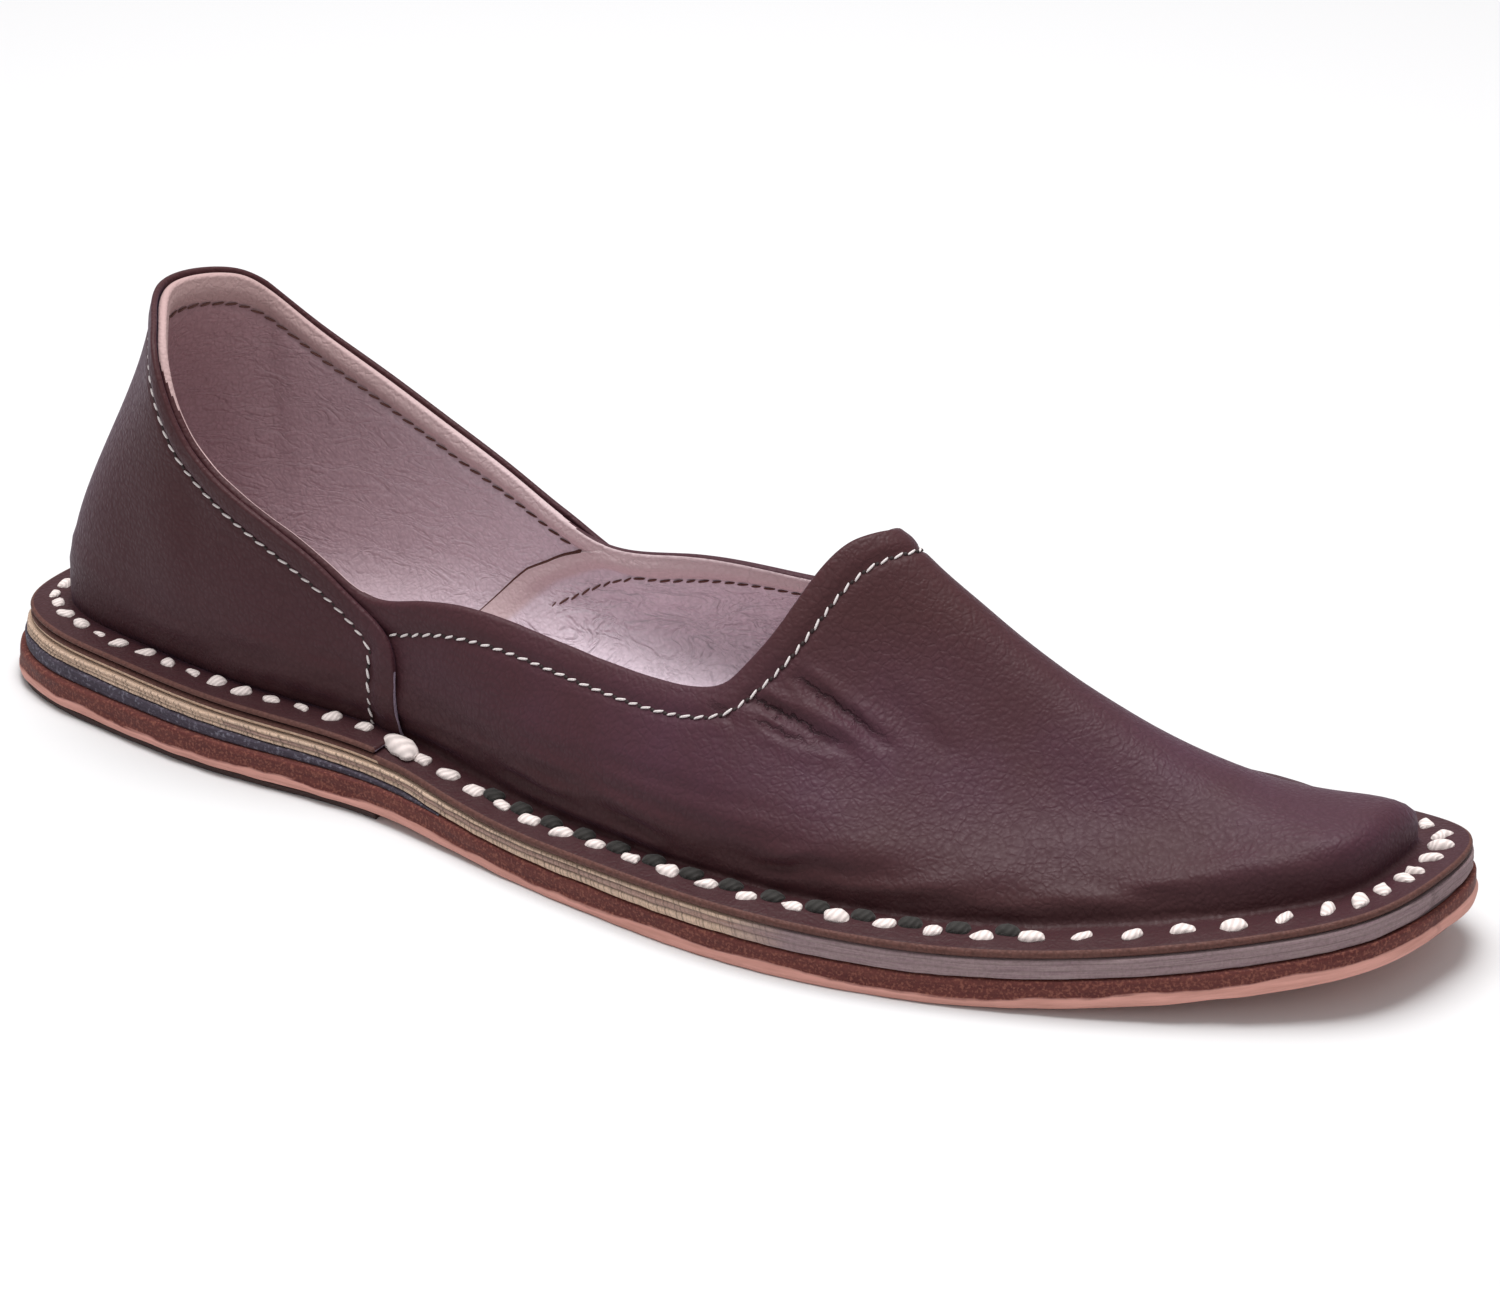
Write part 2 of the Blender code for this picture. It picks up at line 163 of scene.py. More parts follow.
class MojariSizes(bpy.types.PropertyGroup):
    """Sizes of the shoe that a maker would change."""
    length: measure("Length", "Sole from heel to toe", 0.285)
    ball_width: measure("Ball width", "Sole across the ball", 0.100)
    heel_height: measure("Heel height", "Collar at the back above the floor", 0.078)
    flange_width: measure("Flange width", "Turned-out edge of the upper", 0.0093)
    wall: measure("Upper wall", "Leather and lining of the upper", 0.0015)
    quarter_wall: measure("Quarter wall", "Leather of the outer back piece", 0.0011)
    margin: measure("Stitch margin", "From the edge to the thread line", 0.0056)
    thread_pitch: measure("Thread pitch", "From one machine stitch to the next", 0.0027)
    thread_length: measure("Thread stitch", "Length of a machine stitch", 0.0019)
    thread_thick: measure("Thread thickness", "Thickness of the thread", 0.00052)
    cord_length: measure("Cord stitch", "Length of a cord stitch on the edge", 0.0041)
    cord_width: measure("Cord width", "Width of a cord stitch", 0.0031)
    cord_height: measure("Cord height", "How far a cord stitch stands up", 0.0013)


def colour(label, words, value):
    """A colour property of a finish."""
    return FloatVectorProperty(name=label, description=words, default=(*value, 1.0), size=4,
                               subtype="COLOR", min=0.0, max=1.0)


class MojariColours(bpy.types.PropertyGroup):
    """Colours of the finishes."""
    leather: colour("Leather", "Upper leather", (0.053, 0.0165, 0.0185))
    # Painted sheen: the purple band of reflected light on the vamp's side is mixed in with this colour.
    leather_painted_sheen: colour("Leather sheen", "Rubbed, lighter parts of the upper leather", (0.064, 0.0230, 0.0385))
    cut_edge: colour("Cut edge", "Cut edge of the turned-out leather", (0.118, 0.038, 0.028))
    # Painted highlight: the light caught along the quarter's front edge is given as this pale colour.
    edge_highlight: colour("Pale edge", "Pared front edge of the quarter", (0.32, 0.24, 0.32))
    lining: colour("Lining", "Lining leather", (0.70, 0.590, 0.660))
    # Painted shade: the shade inside the heel is mixed into the lining with this colour.
    lining_shade: colour("Deep lining", "Darker lining at the heel", (0.320, 0.182, 0.196))
    lining_roll: colour("Lining roll", "Turned band along the lining's edge", (0.52, 0.370, 0.345))
    cord: colour("Cord", "White cotton cord", (0.82, 0.715, 0.685))
    dark_cord: colour("Dark cord", "Waxed dark cord", (0.014, 0.011, 0.009))
    thread: colour("Thread", "White machine thread", (0.80, 0.73, 0.72))
    lining_thread: colour("Lining thread", "Brown thread of the lining", (0.120, 0.044, 0.034))
    board: colour("Board", "Tan board of the midsole", (0.68, 0.480, 0.350))
    board_rose: colour("Rose board", "Pinkish board layer", (0.340, 0.190, 0.165))
    board_grey: colour("Grey board", "Grey board toward the toe", (0.255, 0.168, 0.190))
    wedge: colour("Wedge", "Blue-grey wedge of the heel", (0.028, 0.019, 0.034))
    paint: colour("Sole paint", "Red-brown dye on the outsole's edge", (0.085, 0.0150, 0.0135))
    raw: colour("Raw leather", "Bare leather at the foot of the edge", (0.66, 0.330, 0.280))
    lift: colour("Lift", "Dark leather of the heel lift", (0.026, 0.010, 0.010))
    floor: colour("Floor", "Studio floor", (0.66, 0.66, 0.665))


def unit(rows):
    """Vectors at a length of one."""
    return rows / np.maximum(np.linalg.norm(rows, axis=-1, keepdims=True), 1e-12)


def run_along(points):
    """Distance along a path at each of its points."""
    return np.concatenate(([0.0], np.cumsum(np.linalg.norm(np.diff(points, axis=0), axis=1))))


def at_level(spot, level, more=0.0):
    """Points over flat spots at a level of the form."""
    return np.column_stack((spot, level(spot[:, 0]) + more))


def closed_spline(knots, values, wanted):
    """Smooth periodic curve of period one through the values at the knots."""
    knots = np.asarray(knots, float)
    values = np.asarray(values, float)
    count = len(knots)
    step = np.diff(np.append(knots, knots[0] + 1.0))
    system = np.zeros((count, count))
    right = np.zeros((count, values.shape[1]))
    for i in range(count):
        before = step[i - 1]
        after = step[i]
        system[i, i - 1] += before
        system[i, i] += 2.0 * (before + after)
        system[i, (i + 1) % count] += after
        rise = (values[(i + 1) % count] - values[i]) / after
        fall = (values[i] - values[i - 1]) / before
        right[i] = 6.0 * (rise - fall)
    bend = np.linalg.solve(system, right)
    wanted = (np.asarray(wanted, float) - knots[0]) % 1.0 + knots[0]
    span = np.searchsorted(knots, wanted, side="right") - 1
    after = (span + 1) % count
    width = step[span][:, None]
    b = (wanted - knots[span])[:, None] / width
    a = 1.0 - b
    curve = a * values[span] + b * values[after]
    return curve + ((a ** 3 - a) * bend[span] + (b ** 3 - b) * bend[after]) * width ** 2 / 6.0


def smooth_step(value, start, end):
    """Eased change from nought to one between start and end."""
    t = np.clip((np.asarray(value, float) - start) / (end - start), 0.0, 1.0)
    return t * t * (3.0 - 2.0 * t)


def ripple(points, scale, seed=0.0):
    """Smooth noise at points in metres, scaled to a wavelength in millimetres."""
    flat = np.asarray(points, float).reshape(-1, 3) * (1000.0 / np.asarray(scale, float))
    values = [noise.noise(Vector((p[0] + seed, p[1] - seed, p[2] + 2.0 * seed))) for p in flat]
    return np.array(values).reshape(np.asarray(points).shape[:-1])


class Last:
    """The form of the shoe, from its main sizes: outline, sole levels and the wall of the upper."""
    gap = 0.0003
    lift_thick = 0.0012
    lift_front = -0.048
    flares = {"heel": 0.0026, "toe": 0.0012, "side": 0.0003}
    outsole_thick = 0.0050
    wedge_heel = 0.0024
    wedge_tip = 0.0004
    wedge_front = -0.046
    midsole_heel = 0.0021
    midsole_ball = 0.0036
    insole_thick = 0.0016
    insole_ease = 0.0009
    toe_spring = 0.0100
    spring_start = 0.062
    spring_power = 1.8

    def __init__(self, sizes):
        self.length = sizes.length
        self.ball = sizes.ball_width
        self.heel = sizes.heel_height
        self.flange = sizes.flange_width
        self.wall = sizes.wall
        self.edge, self.outward, self.round = self.flange_outline()
        self.dense = np.linspace(0.0, 1.0, 181)

    def flange_outline(self):
        """Dense flange edge, evenly spaced, with outward normals, and its whole length."""
        rows = np.array(OUTLINE) * (self.length, self.ball)
        chord = np.linalg.norm(np.roll(rows, -1, axis=0) - rows, axis=1)
        knots = np.concatenate(([0.0], np.cumsum(chord)[:-1])) / chord.sum()
        dense = closed_spline(knots, rows, np.linspace(0.0, 1.0, 4000, endpoint=False))
        low = dense.min(axis=0)
        high = dense.max(axis=0)
        side = self.flares["side"]
        want_low = np.array((self.flares["heel"] - self.length / 2.0, side - self.ball / 2.0))
        want_high = np.array((self.length / 2.0 - self.flares["toe"], self.ball / 2.0 - side))
        dense = want_low + (dense - low) * (want_high - want_low) / (high - low)
        first = int(np.argmin(np.hypot(dense[:, 0] - want_low[0], dense[:, 1])))
        dense = np.roll(dense, -first, axis=0)
        ends = np.vstack((dense, dense[:1]))
        place = run_along(ends)
        even = np.linspace(0.0, place[-1], 4000, endpoint=False)
        points = np.column_stack([np.interp(even, place, ends[:, k]) for k in (0, 1)])
        ahead = unit(np.roll(points, -8, axis=0) - np.roll(points, 8, axis=0))
        return points, np.column_stack((ahead[:, 1], -ahead[:, 0])), place[-1]

    def edge_at(self, share):
        """Flange edge and outward direction at shares of the way round."""
        index = (np.asarray(share) % 1.0) * len(self.edge)
        low = np.floor(index).astype(int) % len(self.edge)
        part = (index - np.floor(index))[:, None]
        high = (low + 1) % len(self.edge)
        return (self.edge[low] * (1 - part) + self.edge[high] * part,
                self.outward[low] * (1 - part) + self.outward[high] * part)

    def flare(self, x):
        """How far the sole stands out past the flange."""
        side = self.flares["side"]
        heel = (self.flares["heel"] - side) * (1.0 - smooth_step(x, -0.060, -0.010))
        toe = (self.flares["toe"] - side) * smooth_step(x, 0.080, 0.120)
        return side + heel + toe

    def outsole_low(self, x):
        """Underside of the outsole."""
        x = np.asarray(x, float)
        seat = (self.lift_thick + self.gap) * (1.0 - smooth_step(x, self.lift_front + 0.002,
                                                                 self.lift_front + 0.040))
        spring = np.clip((x - self.spring_start) / (self.length / 2.0 - self.spring_start), 0.0, None)
        return seat + self.toe_spring * spring ** self.spring_power

    def outsole_high(self, x):
        """Top of the outsole."""
        return self.outsole_low(x) + self.outsole_thick

    def wedge_high(self, x):
        """Top of the heel wedge."""
        half = self.length / 2.0
        share = np.clip((np.asarray(x, float) + half) / (self.wedge_front + half), 0.0, 1.0)
        return self.outsole_high(x) + self.gap + self.wedge_heel + (self.wedge_tip - self.wedge_heel) * share ** 2

    def midsole_low(self, x):
        """Underside of the midsole."""
        ahead = smooth_step(x, self.wedge_front + 0.001, self.wedge_front + 0.016)
        return (self.wedge_high(x) + self.gap) * (1.0 - ahead) + (self.outsole_high(x) + self.gap) * ahead

    def midsole_high(self, x):
        """Top of the midsole."""
        ahead = smooth_step(x, -0.060, 0.040)
        return self.midsole_low(x) + self.midsole_heel + (self.midsole_ball - self.midsole_heel) * ahead

    def flange_top(self, x):
        """Top of the upper's turned-out edge."""
        return self.midsole_high(x) + self.gap + self.wall

    def insole_top(self, x):
        """Top of the insole."""
        return self.midsole_high(x) + self.gap + self.insole_thick

    def handles(self, share):
        """Foot, two handles and crown of the sections of the upper's outside."""
        name = {column: k for k, column in enumerate(SECTION_COLUMNS)}
        table = np.array(SECTIONS)
        scale = np.array((self.length, self.ball, self.heel))
        near = table[:, name["near_x"]:name["near_z"] + 1] * scale
        far = table[:, name["far_x"]:name["far_z"] + 1] * scale
        shape = table[:, name["rise"]:name["drop"] + 1] * self.ball
        around = table[:, name["around"]]
        knots = np.concatenate((around, 1.0 - around[1:-1][::-1]))
        rows = np.vstack((np.hstack((near, shape)), np.hstack((far, shape))[1:-1][::-1]))
        values = closed_spline(knots, rows, share)
        crown = values[:, :3]
        rise, swell, reach, drop = (values[:, k][:, None] for k in (3, 4, 5, 6))
        edge, outward = self.edge_at(share)
        foot = edge - outward * self.flange
        start = at_level(foot, self.flange_top)
        away = unit(foot - crown[:, :2])
        flat = np.zeros((len(edge), 1))
        first = start + rise * UP + swell * np.hstack((outward, flat))
        second = crown + reach * np.hstack((away, flat)) - drop * UP
        return start, first, second, crown

    @staticmethod
    def bezier(handles, t):
        """Points of the sections at the shares t, one row of shares for each section."""
        start, first, second, crown = (h[:, None, :] for h in handles)
        t = t[:, :, None]
        s = 1.0 - t
        return s ** 3 * start + 3 * s * s * t * first + 3 * s * t * t * second + t ** 3 * crown

    def runs(self, share):
        """Handles, and the distance down from the top line at the dense shares of each section."""
        handles = self.handles(share)
        curve = self.bezier(handles, np.tile(self.dense, (len(share), 1)))
        step = np.linalg.norm(np.diff(curve, axis=1), axis=2)
        run = np.concatenate((np.zeros((len(share), 1)), np.cumsum(step, axis=1)), axis=1)
        return handles, run[:, -1:] - run

    def height(self, share):
        """Length of each section from the feather line to the top line."""
        return self.runs(np.asarray(share, float))[1][:, 0]

    def drop_at(self, share, limit):
        """Distance from the top line down to a share of each section."""
        down = self.runs(np.asarray(share, float))[1]
        return np.array([np.interp(v, self.dense, row) for v, row in zip(limit, down)])

    def wall_at(self, share, down):
        """Points of the outside at distances down from the top line."""
        handles, run = self.runs(np.asarray(share, float))
        t = np.array([np.interp(-d, -row, self.dense) for d, row in zip(down, run)])
        return self.bezier(handles, t)

    def surface_each(self, share, down):
        """Points and normals where each row of a section has its own share of the way round."""
        points = np.zeros(down.shape + (3,))
        normals = np.zeros(down.shape + (3,))
        for k in range(down.shape[1]):
            point, normal = self.surface(share[:, k], down[:, k:k + 1])
            points[:, k] = point[:, 0]
            normals[:, k] = normal[:, 0]
        return points, normals

    def surface(self, share, down):
        """Points and outward normals of the outside at distances down from the top line."""
        share = np.asarray(share, float)
        point = self.wall_at(share, down)
        small = 0.0015
        along = self.wall_at(share + small, down) - self.wall_at(share - small, down)
        limit = self.height(share)[:, None]
        above = self.wall_at(share, np.clip(down - 0.0006, 0.0, limit))
        below = self.wall_at(share, np.clip(down + 0.0006, 0.0, limit))
        return point, unit(np.cross(along, above - below))


def kit(context):
    """The sizes, the colours and the form of the shoe."""
    sizes = context.scene.mojari_sizes
    return sizes, context.scene.mojari_colours, Last(sizes)


def creases(point):
    """Depth of the creases at points of the outside, in metres."""
    depth = np.zeros(point.shape[:-1])
    x = point[..., 0] * 1000.0
    z = point[..., 2] * 1000.0
    for values in CREASES:
        row = dict(zip(CREASE_COLUMNS, values))
        ahead = np.array((row["to_x"] - row["from_x"], row["to_z"] - row["from_z"]))
        span = float(ahead @ ahead)
        wander = ripple(point, 9.0, row["from_x"]) * row["wide"] * 0.9
        wander = wander + ripple(point, 2.6, row["to_x"]) * row["wide"] * 0.45
        t = ((x - row["from_x"]) * ahead[0] + (z - row["from_z"]) * ahead[1]) / span
        off = ((x - row["from_x"]) * ahead[1] - (z - row["from_z"]) * ahead[0]) / math.sqrt(span) + wander
        fade = smooth_step(t, -0.12, 0.22) * (1.0 - smooth_step(t, 0.70, 1.12))
        side = point[..., 1] < 0.0 if row["side"] == "near" else point[..., 1] >= 0.0
        across = off / row["wide"]
        shape = -np.exp(-across ** 2) + 0.55 * np.exp(-((across + 1.9) / 1.2) ** 2)
        shape = shape + 0.40 * np.exp(-((across - 1.9) / 1.2) ** 2)
        depth += np.where(side, shape * fade * row["deep"], 0.0)
    return depth / 1000.0


def edge_relief(down, margin):
    """Padded turned edge above the thread line, and the groove that the thread pulls in."""
    pad = 0.00030 * np.exp(-((down - margin * 0.52) / (margin * 0.30)) ** 2)
    groove = -0.00040 * np.exp(-((down - margin) / 0.00075) ** 2)
    return pad + groove


def foot_folds(point, rise, seed):
    """Low folds that lie along the feather line."""
    stretched = point * np.array((1.0, 1.0, 5.5))
    fold = ripple(stretched, 17.0, seed)
    window = smooth_step(rise, 0.0012, 0.0040) * (1.0 - smooth_step(rise, 0.009, 0.020))
    return fold * window * 0.00085


def skin(point, normal, down, rise, margin, seed):
    """Moves the leather's outside by its edge, folds, creases and slow unevenness."""
    slow = ripple(point, 34.0, seed) * 0.00055 + ripple(point, 13.0, seed + 3.0) * 0.00018
    slow = slow * smooth_step(down, 0.0, 0.012)
    move = slow + edge_relief(down, margin) + foot_folds(point, rise, seed)
    move = move + creases(point) * smooth_step(down, margin * 0.55, margin * 1.2)
    return point + normal * move[..., None]


def lap_back(down_share):
    """How far back the rear edge of the vamp's lining has run at a share of the height."""
    return np.interp(down_share, *np.array(LAP_EDGE).T)


def upper_columns(count):
    """Shares of the way round for the upper's columns: closer on the right side of the vamp and at the laps."""
    dense = np.linspace(0.0, 1.0, 20001)
    weight = 1.0 + 0.9 * np.exp(-((dense - 0.315) / 0.075) ** 4)
    for start in LAP_STARTS.values():
        weight = weight + 16.0 * np.exp(-((dense - start) / 0.0016) ** 2)
    run = np.concatenate(([0.0], np.cumsum((weight[1:] + weight[:-1]) / 2.0)))
    return np.interp(np.arange(count) / count * run[-1], run, dense)


def lapped_share(share, down_share):
    """Leans the lining's columns back so that one of them runs along each lap's edge."""
    lean = np.zeros(np.broadcast_shapes(share.shape, down_share.shape))
    back = lap_back(down_share)
    for side, start in LAP_STARTS.items():
        window = np.exp(-((share - start) / 0.062) ** 2)
        lean = lean + window * back * (-1.0 if side == "near" else 1.0)
    return share + lean


def lap_front(share, down_share):
    """Distance in front of the nearer lap's edge, in metres: behind it the value is negative."""
    back = lap_back(down_share)
    near = (share - (LAP_STARTS["near"] - back)) * LAP_PACE
    far = ((LAP_STARTS["far"] + back) - share) * LAP_PACE
    return np.minimum(near, far)


def soft_least(first, second, reach):
    """The lesser of two distances, rounded where they are alike."""
    return -reach * np.logaddexp(-first / reach, -second / reach)


def grid_mesh(work, points, wrap_columns, wrap_rows):
    """A plane grid laid over an array of points, with its seams closed; returns the place of each vertex."""
    columns, rows = points.shape[:2]
    across = columns if wrap_columns else columns - 1
    along = rows if wrap_rows else rows - 1
    column = work.verts.layers.float.new("column")
    row = work.verts.layers.float.new("row")
    work.verts.layers.float_vector.new("edge")
    made = bmesh.ops.create_grid(work, x_segments=across, y_segments=along, size=0.5)
    for vert in made["verts"]:
        i = int(round((vert.co.x + 0.5) * across))
        k = int(round((vert.co.y + 0.5) * along))
        vert[column] = i
        vert[row] = k
        vert.co = points[i % columns, k % rows]
    return column, row


def close_seams(work):
    """Joins the edges that meet and turns the faces outward."""
    bmesh.ops.remove_doubles(work, verts=work.verts, dist=2e-7)
    bmesh.ops.dissolve_degenerate(work, edges=work.edges, dist=1e-8)
    bmesh.ops.recalc_face_normals(work, faces=work.faces)


def finish_piece(work, name, materials, node=None):
    """Turns a bmesh into a piece of the shoe."""
    mesh = bpy.data.meshes.new(name)
    for face in work.faces:
        face.smooth = True
    work.to_mesh(mesh)
    work.free()
    for material in materials:
        mesh.materials.append(material)
    piece = bpy.data.objects.new(name, mesh)
    bpy.context.scene.collection.objects.link(piece)
    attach(piece, "root")
    if node:
        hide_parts(node)


def piece_name(name):
    """The name for a piece that stands for a solid of the same name."""
    return name + "_dressed"


class Nodes:
    """Adds shader nodes to one tree; a value or colour is a socket or a plain number."""

    def __init__(self, tree):
        self.tree = tree
        self.known = {}

    def feed(self, socket, value):
        """Links a socket to another or sets its plain value."""
        if isinstance(value, bpy.types.NodeSocket):
            self.tree.links.new(value, socket)
        else:
            socket.default_value = value

    def feed_all(self, sockets, values):
        """Feeds sockets in their order."""
        for socket, value in zip(sockets, values):
            self.feed(socket, value)

    def add(self, kind, settings=None, **inputs):
        """A node with its settings, and its inputs by name."""
        node = self.tree.nodes.new("ShaderNode" + kind)
        for key, value in (settings or {}).items():
            setattr(node, key, value)
        for key, value in inputs.items():
            self.feed(node.inputs[key.replace("_", " ")], value)
        return node

    def source(self, kind, output, settings=None):
        """An output of a node that each tree has once."""
        if kind not in self.known:
            self.known[kind] = self.add(kind, settings).outputs[output]
        return self.known[kind]

    @property
    def place(self):
        """Object coordinates."""
        return self.source("TexCoord", "Object")

    @property
    def edge(self):
        """The piece's own edge attribute."""
        return self.source("Attribute", "Vector", {"attribute_name": "edge"})

    def parts(self, vector):
        """The three parts of a vector."""
        return tuple(self.add("SeparateXYZ", Vector=vector).outputs)

    def join(self, x, y=0.0):
        """A flat vector."""
        return self.add("CombineXYZ", X=x, Y=y).outputs[0]

    def math(self, operation, first, second=0.0):
        """Arithmetic on two values."""
        node = self.add("Math", {"operation": operation})
        self.feed_all(node.inputs, (first, second))
        return node.outputs[0]

    def plus(self, first, second):
        """Sum of two values."""
        return self.math("ADD", first, second)

    def times(self, first, *others):
        """Product of values."""
        for value in others:
            first = self.math("MULTIPLY", first, value)
        return first

    def apart(self, value, line):
        """How far a value is from a line."""
        return self.math("ABSOLUTE", self.math("SUBTRACT", value, line))

    def vector(self, operation, first, second):
        """Arithmetic on two vectors."""
        node = self.add("VectorMath", {"operation": operation})
        self.feed_all(node.inputs, (first, second))
        return node.outputs["Value" if operation == "DOT_PRODUCT" else "Vector"]

    def scale(self, vector, factor):
        """A vector or colour times a value."""
        node = self.add("VectorMath", {"operation": "SCALE"}, Scale=factor)
        self.feed(node.inputs[0], vector)
        return node.outputs[0]

    def remap(self, value, low, high, to_low=0.0, to_high=1.0):
        """Maps a value from one range to another, clamped."""
        node = self.add("MapRange")
        self.feed_all(node.inputs, (value, low, high, to_low, to_high))
        return node.outputs[0]

    def mix(self, factor, first, second):
        """Mixes two colours."""
        node = self.add("Mix", {"data_type": "RGBA"})
        self.feed_all((node.inputs[0], node.inputs[6], node.inputs[7]), (factor, first, second))
        return node.outputs[2]

    def stain(self, base, mask, amount, tone):
        """A colour with part of another over it where a mask is."""
        return self.mix(self.times(mask, amount), base, (*tone, 1.0))

    def noise(self, place, scale, detail, **more):
        """Smooth noise."""
        return self.add("TexNoise", Vector=place, Scale=scale, Detail=detail, **more).outputs[0]

    def grain(self, pebble, wrinkle):
        """The shared grain on Object coordinates."""
        return self.add("Group", {"node_tree": pebble_grain()}, Vector=self.place, Pebble=pebble,
                        Wrinkle=wrinkle).outputs

    def fibre(self, stretch, layers):
        """The shared fibre on the piece's own edge."""
        return self.add("Group", {"node_tree": fibre_streaks()}, Edge=self.edge, Stretch=stretch,
                        Layers=layers).outputs

    def finish(self, tone, rough, height=None, strength=1.0, distance=1.0, **plain):
        """Feeds the Principled shader, with a bump where a height is given."""
        shader = self.tree.nodes["Principled BSDF"]
        for key, value in {"Base_Color": tone, "Roughness": rough, **plain}.items():
            self.feed(shader.inputs[key.replace("_", " ")], value)
        if height is not None:
            bump = self.add("Bump", Strength=strength, Distance=distance, Height=height)
            self.feed(shader.inputs["Normal"], bump.outputs[0])


def new_group(name, inputs, outputs):
    """A shader node group with named sockets: a vector where there is no default, else a value."""
    group = bpy.data.node_groups.new(name, "ShaderNodeTree")
    for label, default in inputs.items():
        kind = "NodeSocketVector" if default is None else "NodeSocketFloat"
        socket = group.interface.new_socket(name=label, in_out="INPUT", socket_type=kind)
        if default is not None:
            socket.default_value = default
    for label in outputs:
        group.interface.new_socket(name=label, in_out="OUTPUT", socket_type="NodeSocketFloat")
    given = group.nodes.new("NodeGroupInput").outputs
    return group, Nodes(group), given, group.nodes.new("NodeGroupOutput").inputs


def pebble_grain():
    """Shared leather grain: pebbled height, fine wrinkle lines and a slow tone."""
    name = "pebble_grain"
    if name in bpy.data.node_groups:
        return bpy.data.node_groups[name]
    group, nodes, given, made = new_group(name, {"Vector": None, "Pebble": 1000.0, "Wrinkle": 260.0},
                                          ("Height", "Tone", "Fine"))
    vector = given["Vector"]
    warp = nodes.add("TexNoise", Vector=vector, Scale=190.0, Detail=3.0).outputs["Color"]
    place = nodes.vector("ADD", vector, nodes.scale(warp, 0.0016))
    cells = nodes.add("TexVoronoi", {"feature": "SMOOTH_F1"}, Vector=place, Scale=given["Pebble"], Smoothness=0.55)
    lines = nodes.add("TexVoronoi", {"feature": "DISTANCE_TO_EDGE"}, Vector=place, Scale=given["Wrinkle"])
    pebble = nodes.remap(cells.outputs["Distance"], 0.05, 0.85, 1.0, 0.0)
    wrinkle = nodes.remap(lines.outputs["Distance"], 0.0, 0.16)
    slow = nodes.noise(vector, 38.0, 4.0, Roughness=0.6)
    deep = nodes.times(wrinkle, nodes.remap(slow, 0.30, 0.70, 0.35))
    nodes.feed(made["Height"], nodes.plus(nodes.times(pebble, 0.62), nodes.times(deep, 0.38)))
    nodes.feed(made["Tone"], nodes.remap(slow, 0.35, 0.70))
    nodes.feed(made["Fine"], pebble)
    return group


def fibre_streaks():
    """Shared fibre: streaks along a cut edge, with specks, on the edge's own length and height."""
    name = "fibre_streaks"
    if name in bpy.data.node_groups:
        return bpy.data.node_groups[name]
    group, nodes, given, made = new_group(name, {"Edge": None, "Stretch": 90.0, "Layers": 14.0},
                                          ("Height", "Streak", "Speck"))
    along, over, rest = nodes.parts(given["Edge"])
    place = nodes.join(nodes.times(along, given["Stretch"]), nodes.times(over, given["Layers"]))
    fine = nodes.join(nodes.times(along, 1500.0), nodes.times(over, 5.0))
    streak = nodes.noise(place, 1.0, 5.0, Roughness=0.62)
    speck = nodes.noise(fine, 1.0, 3.0, Roughness=0.7)
    nodes.feed(made["Height"], nodes.plus(nodes.times(streak, 0.6), nodes.times(speck, 0.4)))
    nodes.feed(made["Streak"], nodes.remap(streak, 0.32, 0.68))
    nodes.feed(made["Speck"], nodes.remap(speck, 0.40, 0.72))
    return group


def material(name, paint, *values):
    """The named material, painted the first time that it is asked for."""
    found = bpy.data.materials.get(name)
    if found is None:
        found = bpy.data.materials.new(name)
        found.use_nodes = True
        paint(Nodes(found.node_tree), *values)
    return found


def darker(tone, share):
    """A colour at a share of its strength."""
    return (*(c * share for c in tone[:3]), 1.0)


def crease_line(nodes, y, values):
    """One along the sharp bottom of a crease on the near side of the shoe, and nought away from it; the leather's
    colour is darkened there as painted shade.
    """
    row = dict(zip(CREASE_COLUMNS, values))
    start = Vector((row["from_x"], 0.0, row["from_z"])) / 1000.0
    ahead = Vector((row["to_x"], 0.0, row["to_z"])) / 1000.0 - start
    across = Vector((ahead.z, 0.0, -ahead.x)).normalized()
    off, run = (nodes.math("SUBTRACT", nodes.vector("DOT_PRODUCT", nodes.place, line), line.dot(start))
                for line in (across, ahead / ahead.length_squared))
    sway = nodes.remap(nodes.noise(nodes.place, 420.0, 3.0, Roughness=0.7), 0.25, 0.75, -0.0009, 0.0009)
    off = nodes.math("ABSOLUTE", nodes.plus(off, sway))
    line = nodes.remap(off, 0.00006, 0.00042, min(1.0, row["deep"]), 0.0)
    return nodes.times(line, nodes.remap(run, -0.04, 0.10), nodes.remap(run, 0.55, 1.0, 1.0, 0.0),
                       nodes.math("LESS_THAN", y, 0.0))


